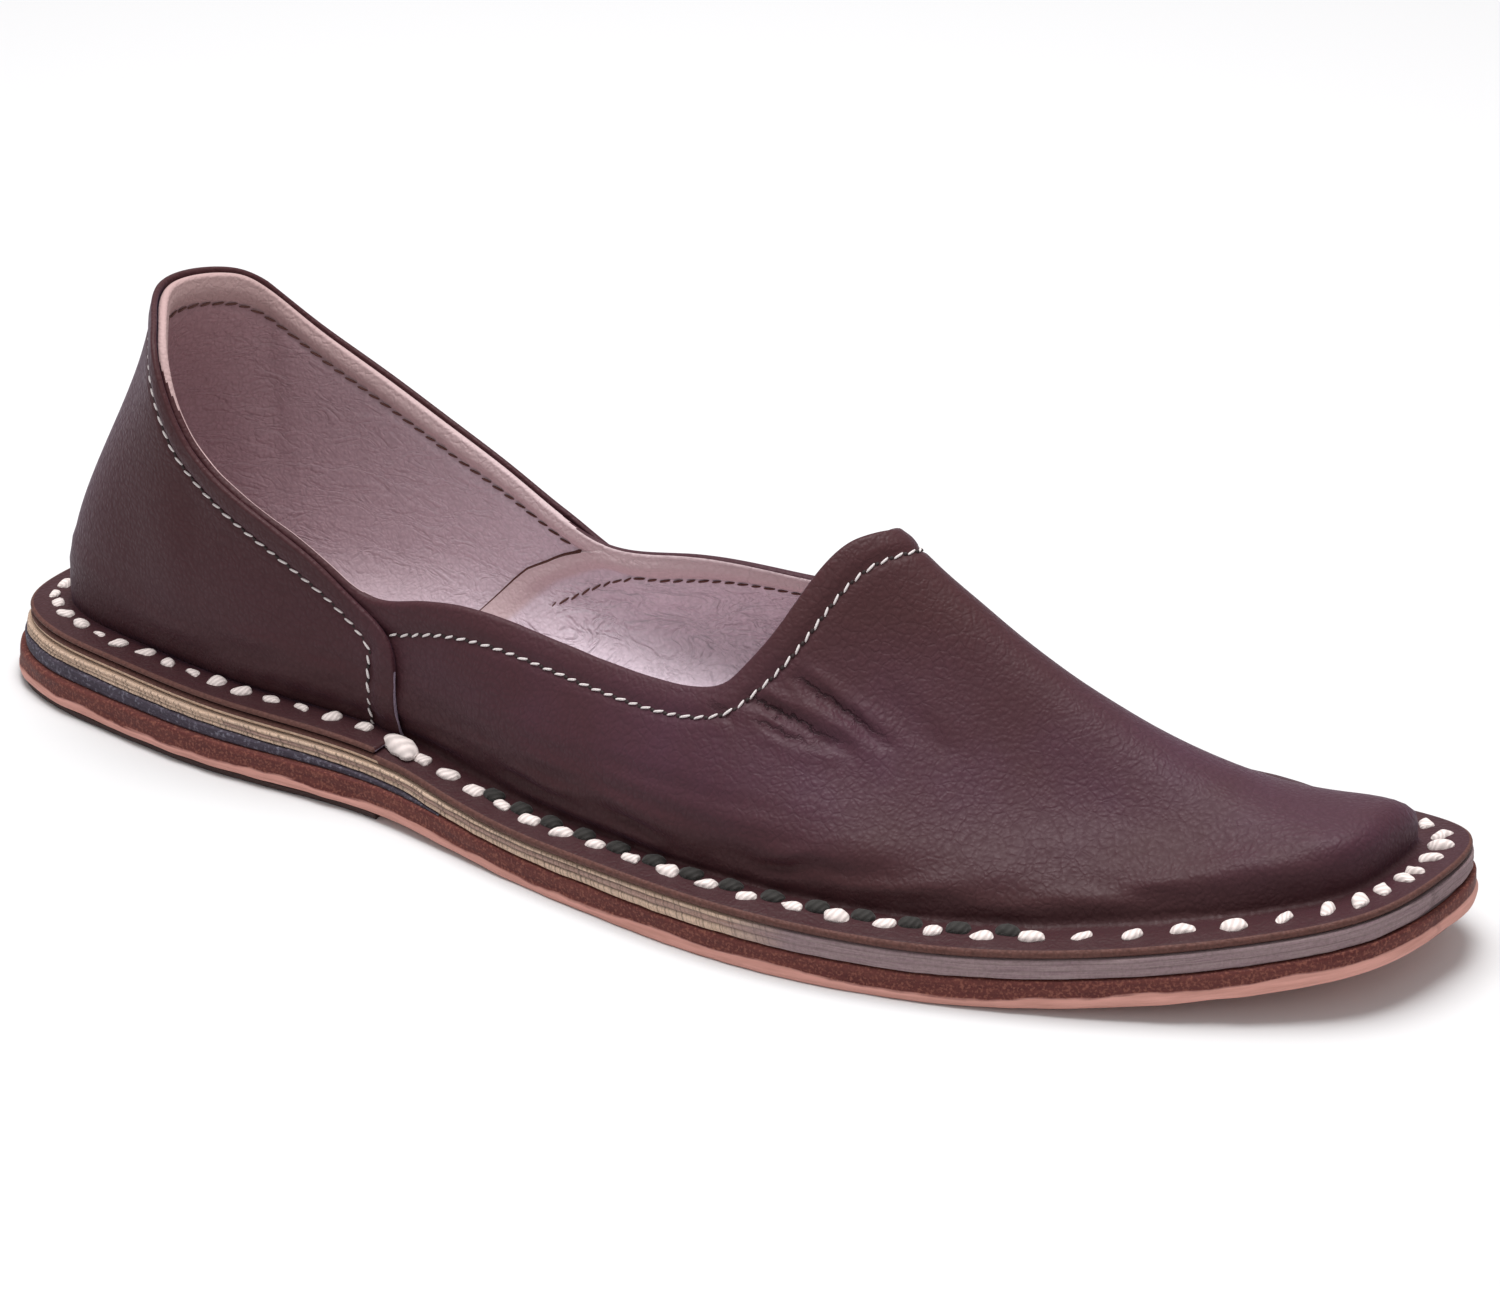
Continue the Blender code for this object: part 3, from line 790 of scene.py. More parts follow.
def upper_leather(nodes, colours):
    """Dark brown grained leather with a soft purple shader sheen, a painted purple sheen band on the vamp's side, and
    painted shade low on the wall and in the crease bottoms.
    """
    grain = nodes.grain(1250.0, 560.0)
    x, y, z = nodes.parts(nodes.place)
    # Painted sheen: a band by height and length on the vamp's side mixes in the lighter purple colour where the soft
    # light's reflection falls.
    band = nodes.times(nodes.remap(z, 0.016, 0.027), nodes.remap(z, 0.052, 0.034),
                       nodes.remap(x, -0.060, 0.020, 0.25))
    slow = nodes.remap(grain["Tone"], 0.0, 1.0, 0.35, 0.95)
    base = nodes.mix(nodes.times(band, slow), colours.leather, colours.leather_painted_sheen)
    # Painted shade: the sharp crease bottoms darken the colour, as well as deepening the bump.
    lines = crease_line(nodes, y, CREASES[0])
    for values in CREASES[1:SHARP_CREASES]:
        lines = nodes.math("MAXIMUM", lines, crease_line(nodes, y, values))
    # Painted shade: the colour darkens towards the foot of the wall.
    shade = nodes.times(nodes.remap(grain["Height"], 0.25, 0.85, 0.90, 1.05),
                        nodes.remap(z, 0.0125, 0.0270, 0.84), nodes.remap(lines, 0.0, 1.0, 1.0, 0.40))
    relief = nodes.math("SUBTRACT", grain["Height"], nodes.times(lines, 2.0))
    nodes.finish(nodes.scale(base, shade), nodes.remap(grain["Height"], 0.2, 0.9, 0.60, 0.44), relief, 0.52, 0.00026,
                 Specular_IOR_Level=0.20, Sheen_Weight=0.06, Sheen_Roughness=0.45,
                 Sheen_Tint=(0.60, 0.45, 0.80, 1.0))


def lining_leather(nodes, colours):
    """Matt lining with painted shade towards the heel and painted light low down, with a turned band and loose
    wrinkles.
    """
    grain = nodes.grain(1400.0, 620.0)
    x, y, z = nodes.parts(nodes.place)
    from_edge, front, rest = nodes.parts(nodes.edge)
    # Painted light and shade: the colour darkens towards the heel and lightens low down, where the light falls.
    light = nodes.plus(nodes.times(nodes.remap(x, -0.115, -0.015), 0.85), nodes.remap(z, 0.070, 0.022, 0.0, 0.30))
    base = nodes.mix(nodes.math("MINIMUM", light, 1.0), colours.lining_shade, colours.lining)
    base = nodes.scale(base, nodes.remap(grain["Height"], 0.25, 0.85, 0.88, 1.04))
    turned = nodes.remap(from_edge, 0.0050, 0.0064, 0.55, 0.0)
    drawn = nodes.vector("MULTIPLY", nodes.place, (1.0, 1.0, 2.0))
    wrinkle = nodes.noise(drawn, 120.0, 3.0, Roughness=0.60, Distortion=0.9)
    fold = nodes.plus(nodes.remap(nodes.apart(wrinkle, 0.5), 0.0, 0.09, 0.0, 0.6),
                      nodes.remap(wrinkle, 0.30, 0.70, 0.0, 0.7))
    loose = nodes.times(nodes.remap(front, 0.004, 0.012, 0.30), nodes.remap(from_edge, 0.0060, 0.0090, 0.15))
    relief = nodes.plus(grain["Height"], nodes.times(fold, nodes.times(loose, 5.0)))
    nodes.finish(nodes.mix(turned, base, colours.lining_roll), nodes.remap(grain["Height"], 0.2, 0.9, 0.78, 0.62),
                 relief, 0.65, 0.00022, Specular_IOR_Level=0.3)


def edge_leather(nodes, tone):
    """Cut edge of leather, a little fibrous."""
    grain = nodes.grain(1700.0, 700.0)
    nodes.finish(nodes.mix(grain["Height"], darker(tone, 0.55), tone), nodes.remap(grain["Fine"], 0.0, 1.0, 0.85, 0.65),
                 grain["Height"], 0.6, 0.0002)


def board(nodes, colours):
    """Layered board of the midsole: tan and rose layers behind, grey toward the toe."""
    streaks = nodes.fibre(120.0, 16.0)
    x, y, z = nodes.parts(nodes.place)
    along, over, rest = nodes.parts(nodes.edge)
    low_line, high_line = (nodes.remap(x, *LAMINA_SPAN, *line) for line in LAMINA_LINES)
    started = nodes.remap(x, -0.0828, -0.0818)
    rose = nodes.times(nodes.math("GREATER_THAN", over, low_line), nodes.math("LESS_THAN", over, high_line), started)
    base = nodes.mix(nodes.times(rose, 0.8), colours.board, colours.board_rose)
    slant = nodes.join(nodes.plus(nodes.times(along, 4800.0), nodes.times(over, 6.0)))
    tick = nodes.remap(nodes.noise(slant, 0.35, 1.0), 0.50, 0.62, 0.0, 0.75)
    base = nodes.mix(tick, base, (0.110, 0.062, 0.040, 1.0))
    wander = nodes.plus(x, nodes.times(streaks["Streak"], 0.006))
    base = nodes.mix(nodes.remap(wander, 0.034, 0.047), base, colours.board_grey)
    low_dark = nodes.remap(nodes.apart(over, low_line), 0.0, 0.07, 1.0, 0.0)
    high_dark = nodes.remap(nodes.apart(over, high_line), 0.0, 0.06, 1.0, 0.0)
    lines = nodes.math("MAXIMUM", low_dark, nodes.times(high_dark, started))
    faint = nodes.remap(x, 0.020, 0.050, 0.85, 0.30)
    base = nodes.mix(nodes.times(lines, faint), base, (0.045, 0.022, 0.016, 1.0))
    base = nodes.stain(base, streaks["Speck"], 0.45, (0.075, 0.050, 0.042))
    base = nodes.stain(base, streaks["Streak"], 0.30, (0.52, 0.44, 0.40))
    nodes.finish(base, nodes.remap(streaks["Speck"], 0.0, 1.0, 0.82, 0.95), streaks["Height"], 0.8, 0.0004,
                 Specular_IOR_Level=0.2)


def wedge_board(nodes, colours):
    """Dark blue-grey board of the heel wedge with pale specks."""
    streaks = nodes.fibre(160.0, 7.0)
    base = nodes.stain(colours.wedge, streaks["Streak"], 0.55, (0.105, 0.080, 0.112))
    base = nodes.stain(base, streaks["Speck"], 0.35, (0.012, 0.012, 0.018))
    fibre = nodes.remap(nodes.noise(nodes.place, 1500.0, 3.0), 0.54, 0.70, 0.0, 0.7)
    base = nodes.mix(fibre, base, (0.20, 0.19, 0.24, 1.0))
    nodes.finish(base, nodes.remap(streaks["Streak"], 0.0, 1.0, 0.75, 0.92), streaks["Height"], 0.7, 0.0004)


def sole_leather(nodes, colours):
    """Outsole edge: red-brown dye over bare leather that shows along the foot of the edge."""
    streaks = nodes.fibre(70.0, 5.0)
    x, y, z = nodes.parts(nodes.place)
    along, over, rest = nodes.parts(nodes.edge)
    patch = nodes.remap(nodes.noise(nodes.place, 55.0, 4.0), 0.3, 0.7, 0.16, 0.40)
    line = nodes.plus(patch, nodes.remap(x, 0.070, 0.135, 0.0, 0.16))
    line = nodes.plus(line, nodes.times(streaks["Streak"], 0.10))
    painted = nodes.remap(nodes.math("SUBTRACT", over, line), -0.03, 0.05)
    dye = nodes.stain(colours.paint, streaks["Streak"], 0.6, (0.175, 0.055, 0.045))
    dye = nodes.stain(dye, streaks["Speck"], 0.35, (0.030, 0.008, 0.007))
    fibre = nodes.remap(nodes.noise(nodes.place, 1900.0, 2.0), 0.50, 0.68, 0.0, 0.65)
    dye = nodes.mix(fibre, dye, (0.270, 0.095, 0.065, 1.0))
    bare = nodes.stain(colours.raw, streaks["Streak"], 0.5, (0.30, 0.135, 0.10))
    nodes.finish(nodes.mix(painted, bare, dye), nodes.remap(streaks["Streak"], 0.0, 1.0, 0.55, 0.78),
                 streaks["Height"], 0.6, 0.0004, Specular_IOR_Level=0.25)


def lift_leather(nodes, colours):
    """Dark worn leather of the heel lift."""
    streaks = nodes.fibre(60.0, 3.0)
    base = nodes.stain(colours.lift, streaks["Streak"], 0.5, (0.075, 0.035, 0.028))
    nodes.finish(base, nodes.remap(streaks["Speck"], 0.0, 1.0, 0.70, 0.9), streaks["Height"], 0.6, 0.0003)


def twisted_cord(nodes, tone, strands, depth):
    """Cord or thread: slanting strands on the stitch's own length and turn."""
    wave = nodes.add("TexWave", {"bands_direction": "DIAGONAL"}, Vector=nodes.edge, Scale=strands, Distortion=1.6,
                     Detail=2.0)
    lint = nodes.noise(nodes.place, 1400.0, 3.0)
    height = nodes.plus(nodes.times(wave.outputs["Fac"], 0.6), nodes.times(lint, 0.4))
    nodes.finish(nodes.mix(nodes.remap(height, 0.2, 0.75), darker(tone, 0.72), tone),
                 nodes.remap(height, 0.0, 1.0, 0.92, 0.72), height, 0.7, depth, Sheen_Weight=0.1)


def section_rows(height, first, turn, top_rows, low_rows, foot):
    """Distances down from the top line for each section: close together near the edge, then even to the foot."""
    top = first[:, None] + np.linspace(0.0, 1.0, top_rows)[None, :] * turn
    left = (height - foot)[:, None] - top[:, -1:]
    low = top[:, -1:] + left * np.linspace(0.0, 1.0, low_rows + 1)[None, 1:]
    return np.hstack((top, low))


def turned_edge(last, share, lift, thick):
    """Rows of the turned-out edge: rim, flange and the soft bend into the wall's foot."""
    edge, outward = last.edge_at(share)
    rows = []
    for inset, up in FLANGE_RIM:
        spot = edge - outward * inset
        level = last.flange_top(spot[:, 0]) - last.wall + lift + thick * up
        rows.append(np.column_stack((spot, level)))
    first = 0.0014
    end = last.flange - 0.0020
    for inset in np.linspace(first, end, 6):
        spot = edge - outward * inset
        soft = np.column_stack((spot, last.flange_top(spot[:, 0]) - last.wall + lift + thick))
        swell = 0.00030 * math.sin(math.pi * (inset - first) / end)
        soft[:, 2] += swell + ripple(soft, 7.0, 11.0) * 0.00028
        rows.append(soft)
    return np.stack(rows, axis=1)


def soft_bend(first, corner, second, count):
    """Rows between two rows, rounding the corner between them."""
    shares = np.arange(1, count + 1) / (count + 1)
    return np.stack([(1 - t) ** 2 * first + 2 * t * (1 - t) * corner + t * t * second for t in shares], axis=1)


def rolled_edge(outer, inner, upward, count):
    """Rows round a top edge, from the outside over to the inside."""
    upward = unit(upward)
    middle = (outer + inner) / 2.0
    half = (outer - inner) / 2.0
    size = np.linalg.norm(half, axis=1)[:, None]
    turns = np.linspace(0.0, math.pi, count)[1:-1]
    return np.stack([middle + half * math.cos(a) + upward * size * math.sin(a) for a in turns], axis=1)


def face_row(face, row, rows):
    """The first row of a face, or the last row where the face closes the seam."""
    low = min(v[row] for v in face.verts)
    return rows - 1 if max(v[row] for v in face.verts) - low > 1.5 else int(low)


class MOJARI_OT_upper(bpy.types.Operator):
    """Vamp, wings and inner back with their lining, as one lasted wall with its turned-out edge"""
    bl_idname = "mojari.upper"
    bl_label = "Upper"

    def execute(self, context):
        sizes, colours, last = kit(context)
        count = 690
        share = upper_columns(count)
        first = np.full(count, last.wall / 2.0)
        height = last.height(share)
        down = section_rows(height, first, 0.0105, 15, 44, FOOT_CLEAR)
        point, normal = last.surface(share, down)
        outer = skin(point, normal, down, height[:, None] - down, sizes.margin, 1.7)
        flange = turned_edge(last, share, 0.0, last.wall)
        bend = soft_bend(flange[:, -1], last.handles(share)[0], outer[:, -1], 4)

        lining_down = section_rows(height, first, 0.0105, 13, 22, 0.0080)
        down_share = lining_down / height[:, None]
        lining_share = lapped_share(share[:, None], down_share)
        own_height = np.stack([last.height(lining_share[:, k]) for k in range(lining_share.shape[1])], axis=1)
        lining_down = np.where(lining_down < 0.004, lining_down, down_share * own_height)
        inside, inward = last.surface_each(lining_share, lining_down)
        front = lap_front(lining_share, down_share)
        from_edge = np.where(front > 0.0, soft_least(lining_down, np.maximum(front, 0.0), 0.0012), lining_down)
        pad = 0.00045 * np.exp(-((from_edge - 0.0028) / 0.0016) ** 2) * smooth_step(lining_down, 0.0, 0.0012)
        pad = pad - 0.00045 * np.exp(-((from_edge - sizes.margin - THREAD_IN) / 0.0008) ** 2)
        lap = 0.00065 * smooth_step(front, -0.00018, 0.00018) * smooth_step(lining_down, 0.0002, 0.0016)
        crumple = ripple(inside * np.array((1.0, 1.0, 1.6)), 4.6, 5.0) * 0.00042
        crumple = crumple + ripple(inside, 10.0, 8.0) * 0.00040
        crumple = crumple * smooth_step(front, 0.002, 0.012) * smooth_step(from_edge, 0.0070, 0.0120)
        crumple = crumple * smooth_step(own_height - lining_down, 0.0080, 0.0130)
        slack = ripple(inside * np.array((2.0, 1.0, 0.5)), 9.0, 3.0) * 0.00016
        inner = inside - inward * (last.wall + pad + lap + crumple + slack)[..., None]
        roll = rolled_edge(outer[:, 0], inner[:, 0], outer[:, 0] - outer[:, 1], 9)

        low_share = lapped_share(share, np.ones(count))
        edge, outward = last.edge_at(low_share)
        base = edge - outward * (last.flange + last.wall)
        reach = 0.0085 - 0.0065 * smooth_step(base[:, 0], 0.070, 0.100)
        clear = 0.00012
        corner_in = at_level(base, last.insole_top, clear)
        corner_in = corner_in + np.column_stack((-outward * lap[:, -1:], lap[:, -1:] * 0.6))
        tip_in = at_level(base - outward * reach[:, None], last.insole_top, clear)
        cove = soft_bend(inner[:, -1], corner_in, tip_in, 6)
        under_tip = tip_in - UP * clear * 0.5
        ease = edge - outward * (last.flange + last.wall + 0.0004)
        over_board = at_level(ease, last.insole_top, clear * 0.5)
        beside_board = at_level(ease, last.flange_top, -last.wall)
        edge, outward = last.edge_at(share)
        under = at_level(edge - outward * last.flange * 0.5, last.flange_top, -last.wall)
        tail = np.stack((tip_in, under_tip, over_board, beside_board, under), axis=1)

        parts = (flange, bend, outer[:, ::-1], roll, inner, cove, tail)
        points = np.concatenate(parts, axis=1)
        marks = np.cumsum([p.shape[1] for p in parts])
        rows = points.shape[1]
        lining = range(marks[3], marks[5])
        last_row = front.shape[1] - 1
        work = bmesh.new()
        column, row = grid_mesh(work, points, True, True)
        inset = work.verts.layers.float_vector["edge"]
        for vert in work.verts:
            k = int(vert[row]) % rows
            i = int(vert[column]) % count
            if k in lining:
                at = min(k - marks[3], last_row)
                vert[inset] = (from_edge[i, at], max(0.0, front[i, at]), 0.0)
            else:
                vert[inset] = (0.0 if k < marks[3] else 0.030, 0.0, 0.0)
        near, far = QUARTER_EDGES["near"], QUARTER_EDGES["far"]
        far_turn = far["base"] - far["round"]
        for face in work.faces:
            k = face_row(face, row, rows)
            index = [int(v[column]) for v in face.verts]
            first = (max(index) if max(index) - min(index) > 1 else min(index)) % count
            place = share[first]
            if place < 0.5:
                covered = (place - 0.064) / 0.026
            else:
                covered = (1.006 - far_turn - place) / 0.016
            lining_start = marks[2] - 1 + round(5.0 * min(max(covered, 0.0), 1.0))
            # The lap's step faces take the dark cut-edge colour: partly the lining's own cut edge, partly painted shade
            # along the step.
            shaded_lap_step = False
            if marks[3] + 4 < k < marks[5] - 3:
                shaded_lap_step = -0.00030 < front[first, min(k - marks[3], last_row)] < 0.00012
            if k < 2 and (place < near["base"] or place > 1.0 - far["base"]):
                face.material_index = 3
            elif k < 4 or k >= rows - 2 or shaded_lap_step:
                face.material_index = 2
            else:
                face.material_index = 0 if k < lining_start else 1
        close_seams(work)
        materials = (material("grained_leather", upper_leather, colours),
                     material("lining_skin", lining_leather, colours),
                     material("cut_edge", edge_leather, colours.cut_edge),
                     material("pale_cut_edge", edge_leather, colours.board))
        finish_piece(work, piece_name("upper"), materials, "upper")
        return {"FINISHED"}


def quarter_columns(last):
    """Shares of the way round for the quarter's columns, with the drop of its top edge at each."""
    near, far = QUARTER_EDGES["near"], QUARTER_EDGES["far"]
    near_turn = near["base"] - near["round"]
    far_turn = far["base"] - far["round"]
    turns = np.sin(np.linspace(0.0, math.pi / 2.0, 34))
    whole = np.linspace(-far_turn, near_turn, 150)[1:-1]
    share = np.concatenate(((-far_turn - turns * far["round"])[::-1], whole, near_turn + turns * near["round"]))
    limit = np.ones(len(share))
    for k, value in enumerate(share):
        side = near if value >= 0.0 else far
        over = (abs(value) - (side["base"] - side["round"])) / side["round"]
        if over > 0.0:
            bow = math.sqrt(max(0.0, 1.0 - min(1.0, over) ** 2.2))
            limit[k] = side["shoulder"] + (1.0 - side["shoulder"]) * bow
    return share, last.drop_at(share, limit)


def quarter_thread_line(last, sizes, side):
    """Thread line of the quarter on one side: shares and drops, set back from its top and front edges."""
    share, drop = quarter_columns(last)
    keep = share >= 0.0 if side == "near" else share <= 0.0
    share, drop = share[keep], drop[keep]
    if side == "far":
        share, drop = share[::-1], drop[::-1]
    place = last.wall_at(share, drop[:, None])[:, 0]
    step = np.linalg.norm(np.diff(place, axis=0), axis=1)
    sideways = np.sqrt(np.maximum(step ** 2 - np.diff(drop) ** 2, 0.0))
    top_along = np.concatenate(([0.0], np.cumsum(sideways)))
    low = np.linspace(drop[-1], last.height(share)[-1] - 0.0015, 40)[1:]
    along = np.concatenate((top_along, np.full(len(low), top_along[-1])))
    down = np.concatenate((drop, low))
    ahead = unit(np.column_stack((np.gradient(along), np.gradient(down))))
    line_along = along - ahead[:, 1] * sizes.margin
    line_down = down + ahead[:, 0] * sizes.margin
    return np.interp(line_along, top_along, share), line_down


class MOJARI_OT_quarter(bpy.types.Operator):
    """Outer back piece, lapped over the upper and rounded at its front edges"""
    bl_idname = "mojari.quarter"
    bl_label = "Heel quarter"

    def execute(self, context):
        sizes, colours, last = kit(context)
        share, drop = quarter_columns(last)
        thick = sizes.quarter_wall
        radius = thick / 2.0
        height = last.height(share)
        down = section_rows(height, drop + radius, 0.0095, 13, 26, FOOT_CLEAR)
        point, normal = last.surface(share, down)
        from_edge = down - drop[:, None]
        front = np.minimum(np.abs(share - share[-1]), np.abs(share - share[0])) * last.round
        full = np.clip(front / radius, 0.0, 1.0)
        body = np.sqrt(1.0 - (1.0 - full) ** 2)[:, None]
        near_edge = np.minimum(from_edge, front[:, None] + 0.0004)
        skinned = skin(point, normal, near_edge, height[:, None] - down, sizes.margin, 1.7)
        lift = ((skinned - point) * normal).sum(axis=2)
        centre = last.gap + radius
        outer = point + normal * (centre + radius * body + lift * body)[..., None]
        inner = point + normal * (centre - radius * body)[..., None]
        proud = 0.00055 * np.exp(-(from_edge / 0.0035) ** 2) * smooth_step(front, 0.002, 0.016)[:, None]
        outer[..., 2] += proud
        inner[..., 2] += proud

        flange = turned_edge(last, share, last.wall + last.gap, thick)
        rim_rows = len(FLANGE_RIM) - 1
        top = flange[:, rim_rows:]
        bottom = top - UP * thick
        mid = (top + bottom) / 2.0
        rim, top, bottom = (middle + (rows - middle) * body[..., None] for rows, middle in (
            (flange[:, :rim_rows], mid[:, :1]), (top, mid), (bottom, mid)))
        corner = last.handles(share)[0]
        lean = normal[:, -1] + UP
        bend_out = soft_bend(top[:, -1], corner + lean * (centre + radius * body), outer[:, -1], 4)
        bend_in = soft_bend(bottom[:, -1], corner + lean * (centre - radius * body), inner[:, -1], 4)
        roll = rolled_edge(outer[:, 0], inner[:, 0], point[:, 0] - point[:, 1], 7)

        parts = (rim, top, bend_out, outer[:, ::-1], roll, inner, bend_in[:, ::-1], bottom[:, ::-1])
        points = np.concatenate(parts, axis=1)
        columns, rows = points.shape[:2]
        work = bmesh.new()
        column, row = grid_mesh(work, points, False, True)
        for face in work.faces:
            k = face_row(face, row, rows)
            i = min(v[column] for v in face.verts)
            face.material_index = 1 if k < rim_rows or k >= rows - 1 else 0
            # Painted highlight: the faces at the front edges take the pale lilac colour of the light caught along the
            # edge.
            if (i < 2 or i > columns - 4) and k > 10:
                face.material_index = 2
        close_seams(work)
        materials = (material("grained_leather", upper_leather, colours),
                     material("cut_edge", edge_leather, colours.cut_edge),
                     material("edge_highlight", edge_leather, colours.edge_highlight))
        finish_piece(work, piece_name("heel_quarter"), materials, "heel_quarter")
        return {"FINISHED"}


def sole_layer(name, last, grow, low, high, finish, front=None, side=None, count=300):
    """A layer of the sole: crosswise bands between the two sides of the outline, with a shaped edge."""
    shares = [np.linspace(0.0, 0.5, count + 1)]
    shares.append(1.0 - shares[0])
    if front is not None:
        dense = np.linspace(0.0, 0.5, 4001)
        for k, mirror in enumerate((1.0, -1.0)):
            spot, outward = last.edge_at(mirror * dense)
            spot = spot + outward * grow(spot[:, 0])[:, None]
            reach = dense[int(np.argmax(spot[:, 0] > front))]
            shares[k] = mirror * np.linspace(0.0, reach, count + 1)
    ends = []
    for share in shares:
        spot, outward = last.edge_at(share)
        ends.append((spot + outward * grow(spot[:, 0])[:, None], outward))
    (near, near_out), (far, far_out) = ends
    far[0] = near[0]
    if front is None:
        far[-1] = near[-1]
    else:
        near[-1, 0] = far[-1, 0] = front
    rows = len(EDGE_ROWS)
    columns = []
    marks = []
    across = np.linspace(0.0, 1.0, 11)[1:-1]

    def band(start, end, level, value):
        for w in across:
            columns.append(at_level(start * (1.0 - w) + end * w, level))
            marks.append(np.column_stack((np.zeros(len(start)), np.full(len(start), value))))

    def flank(spot, outward, sign, order):
        thick = high(spot[:, 0]) - low(spot[:, 0])
        taper = np.clip(thick / 0.0012, 0.0, 1.0)
        for v in order:
            round_off = 0.00032 * (max(0.0, 1.0 - v / 0.14) ** 2 + max(0.0, 1.0 - (1.0 - v) / 0.14) ** 2)
            level = low(spot[:, 0]) + thick * v
            place = np.column_stack((spot, level))
            move = ripple(place * np.array((1.0, 1.0, 3.0)), 9.0, len(name) * 1.3) * 0.00022 - round_off
            if side is not None:
                move = move + side(spot[:, 0], v, place)
            columns.append(np.column_stack((spot + outward * (move * taper)[:, None], level)))
            marks.append(np.column_stack((sign * run_along(spot), np.full(len(spot), v))))

    flank(near, near_out, 1.0, EDGE_ROWS)
    band(near, far, high, 1.0)
    flank(far, far_out, -1.0, EDGE_ROWS[::-1])
    band(far, near, low, 0.0)
    points = np.stack(columns, axis=1)
    second = rows + len(across)
    for end in (0, -1) if front is None else (0,):
        points[end, :rows, :2] = points[end, second:second + rows, :2][::-1]
    values = np.stack(marks, axis=1)
    work = bmesh.new()
    column, row = grid_mesh(work, points, False, True)
    edge = work.verts.layers.float_vector["edge"]
    for vert in work.verts:
        u, v = values[int(vert[column]), int(vert[row]) % points.shape[1]]
        vert[edge] = (u, v, 0.0)
    bmesh.ops.remove_doubles(work, verts=work.verts, dist=2e-6)
    if front is not None:
        bmesh.ops.holes_fill(work, edges=[e for e in work.edges if e.is_boundary], sides=0)
    bmesh.ops.recalc_face_normals(work, faces=work.faces)
    finish_piece(work, piece_name(name), (finish,), name)


class MOJARI_OT_sole(bpy.types.Operator):
    """Lift, outsole, wedge, midsole and insole, each with its own cut edge"""
    bl_idname = "mojari.sole"
    bl_label = "Sole layers"

    def execute(self, context):
        sizes, colours, last = kit(context)
        inner = last.flange + last.wall + last.insole_ease

        def laminae(x, v, place):
            ahead = smooth_step(x, *LAMINA_SPAN)
            groove = np.zeros(len(x))
            for heel, ball in LAMINA_LINES:
                line = heel + (ball - heel) * ahead
                groove -= 0.00045 * np.exp(-((v - line) / 0.055) ** 2)
            tan = 1.0 - smooth_step(x, 0.030, 0.050)
            return groove * (0.25 + 0.75 * tan) + ripple(place, 3.2, 2.0) * 0.00016

        def outsole_side(x, v, place):
            lip = 0.00035 * (1.0 - smooth_step(v, 0.20, 0.42))
            return lip + ripple(place, 5.0, 7.0) * 0.00020

        sole_layer("heel_lift", last, lambda x: last.flare(x) * 0.85, lambda x: np.zeros(len(x)),
                   lambda x: np.full(len(x), last.lift_thick), material("worn_lift", lift_leather, colours),
                   front=last.lift_front, count=160)
        sole_layer("outsole", last, last.flare, last.outsole_low, last.outsole_high,
                   material("dyed_edge", sole_leather, colours), side=outsole_side)
        sole_layer("heel_wedge", last, lambda x: last.flare(x) * 0.55, lambda x: last.outsole_high(x) + 0.0001,
                   lambda x: last.midsole_low(x) - 0.0001, material("mottled_board", wedge_board, colours),
                   front=last.wedge_front + 0.0135, count=180)
        sole_layer("midsole", last, lambda x: last.flare(x) * 0.35, last.midsole_low, last.midsole_high,
                   material("layered_board", board, colours), side=laminae)
        sole_layer("insole", last, lambda x: np.full(len(x), -inner), lambda x: last.midsole_high(x) + last.gap,
                   last.insole_top, material("lining_skin", lining_leather, colours), count=200)
        return {"FINISHED"}


def stitch(work, place, ahead, up, sizes, taper, slant, segments, rough=0.0):
    """One stitch: a rounded, tapered length of thread or cord that dips at both ends."""
    edge = work.verts.layers.float_vector["edge"]
    up = Vector(up).normalized()
    ahead = Vector(ahead).normalized()
    ahead = (ahead - up * ahead.dot(up)).normalized()
    across = up.cross(ahead)
    length, width, height = sizes
    made = bmesh.ops.create_uvsphere(work, u_segments=segments[0], v_segments=segments[1], radius=1.0)
    for vert in made["verts"]:
        x, y, a = vert.co
        wide = 1.0 - taper * (0.5 - 0.5 * a)
        side = math.copysign(abs(x) ** 0.75, x) * wide
        tall = y if y > 0.0 else y * 0.45
        full = math.copysign(abs(a) ** 0.72, a)
        vert[edge] = (a * 0.5, math.atan2(y, x) / (2.0 * math.pi), 0.0)
        spot = (Vector(place) + ahead * (full * length / 2.0) + across * (side * width / 2.0 + slant * a)
                + up * (tall * height * wide))
        if rough > 0.0:
            lump = [noise.noise(spot * 520.0 + Vector((shift, -shift, shift))) for shift in LUMP_SHIFTS]
            spot = spot + Vector(lump) * rough
        vert.co = spot


def stitch_mesh():
    """An empty bmesh for stitches, with the layer that their twist is written to."""
    work = bmesh.new()
    work.verts.layers.float_vector.new("edge")
    return work


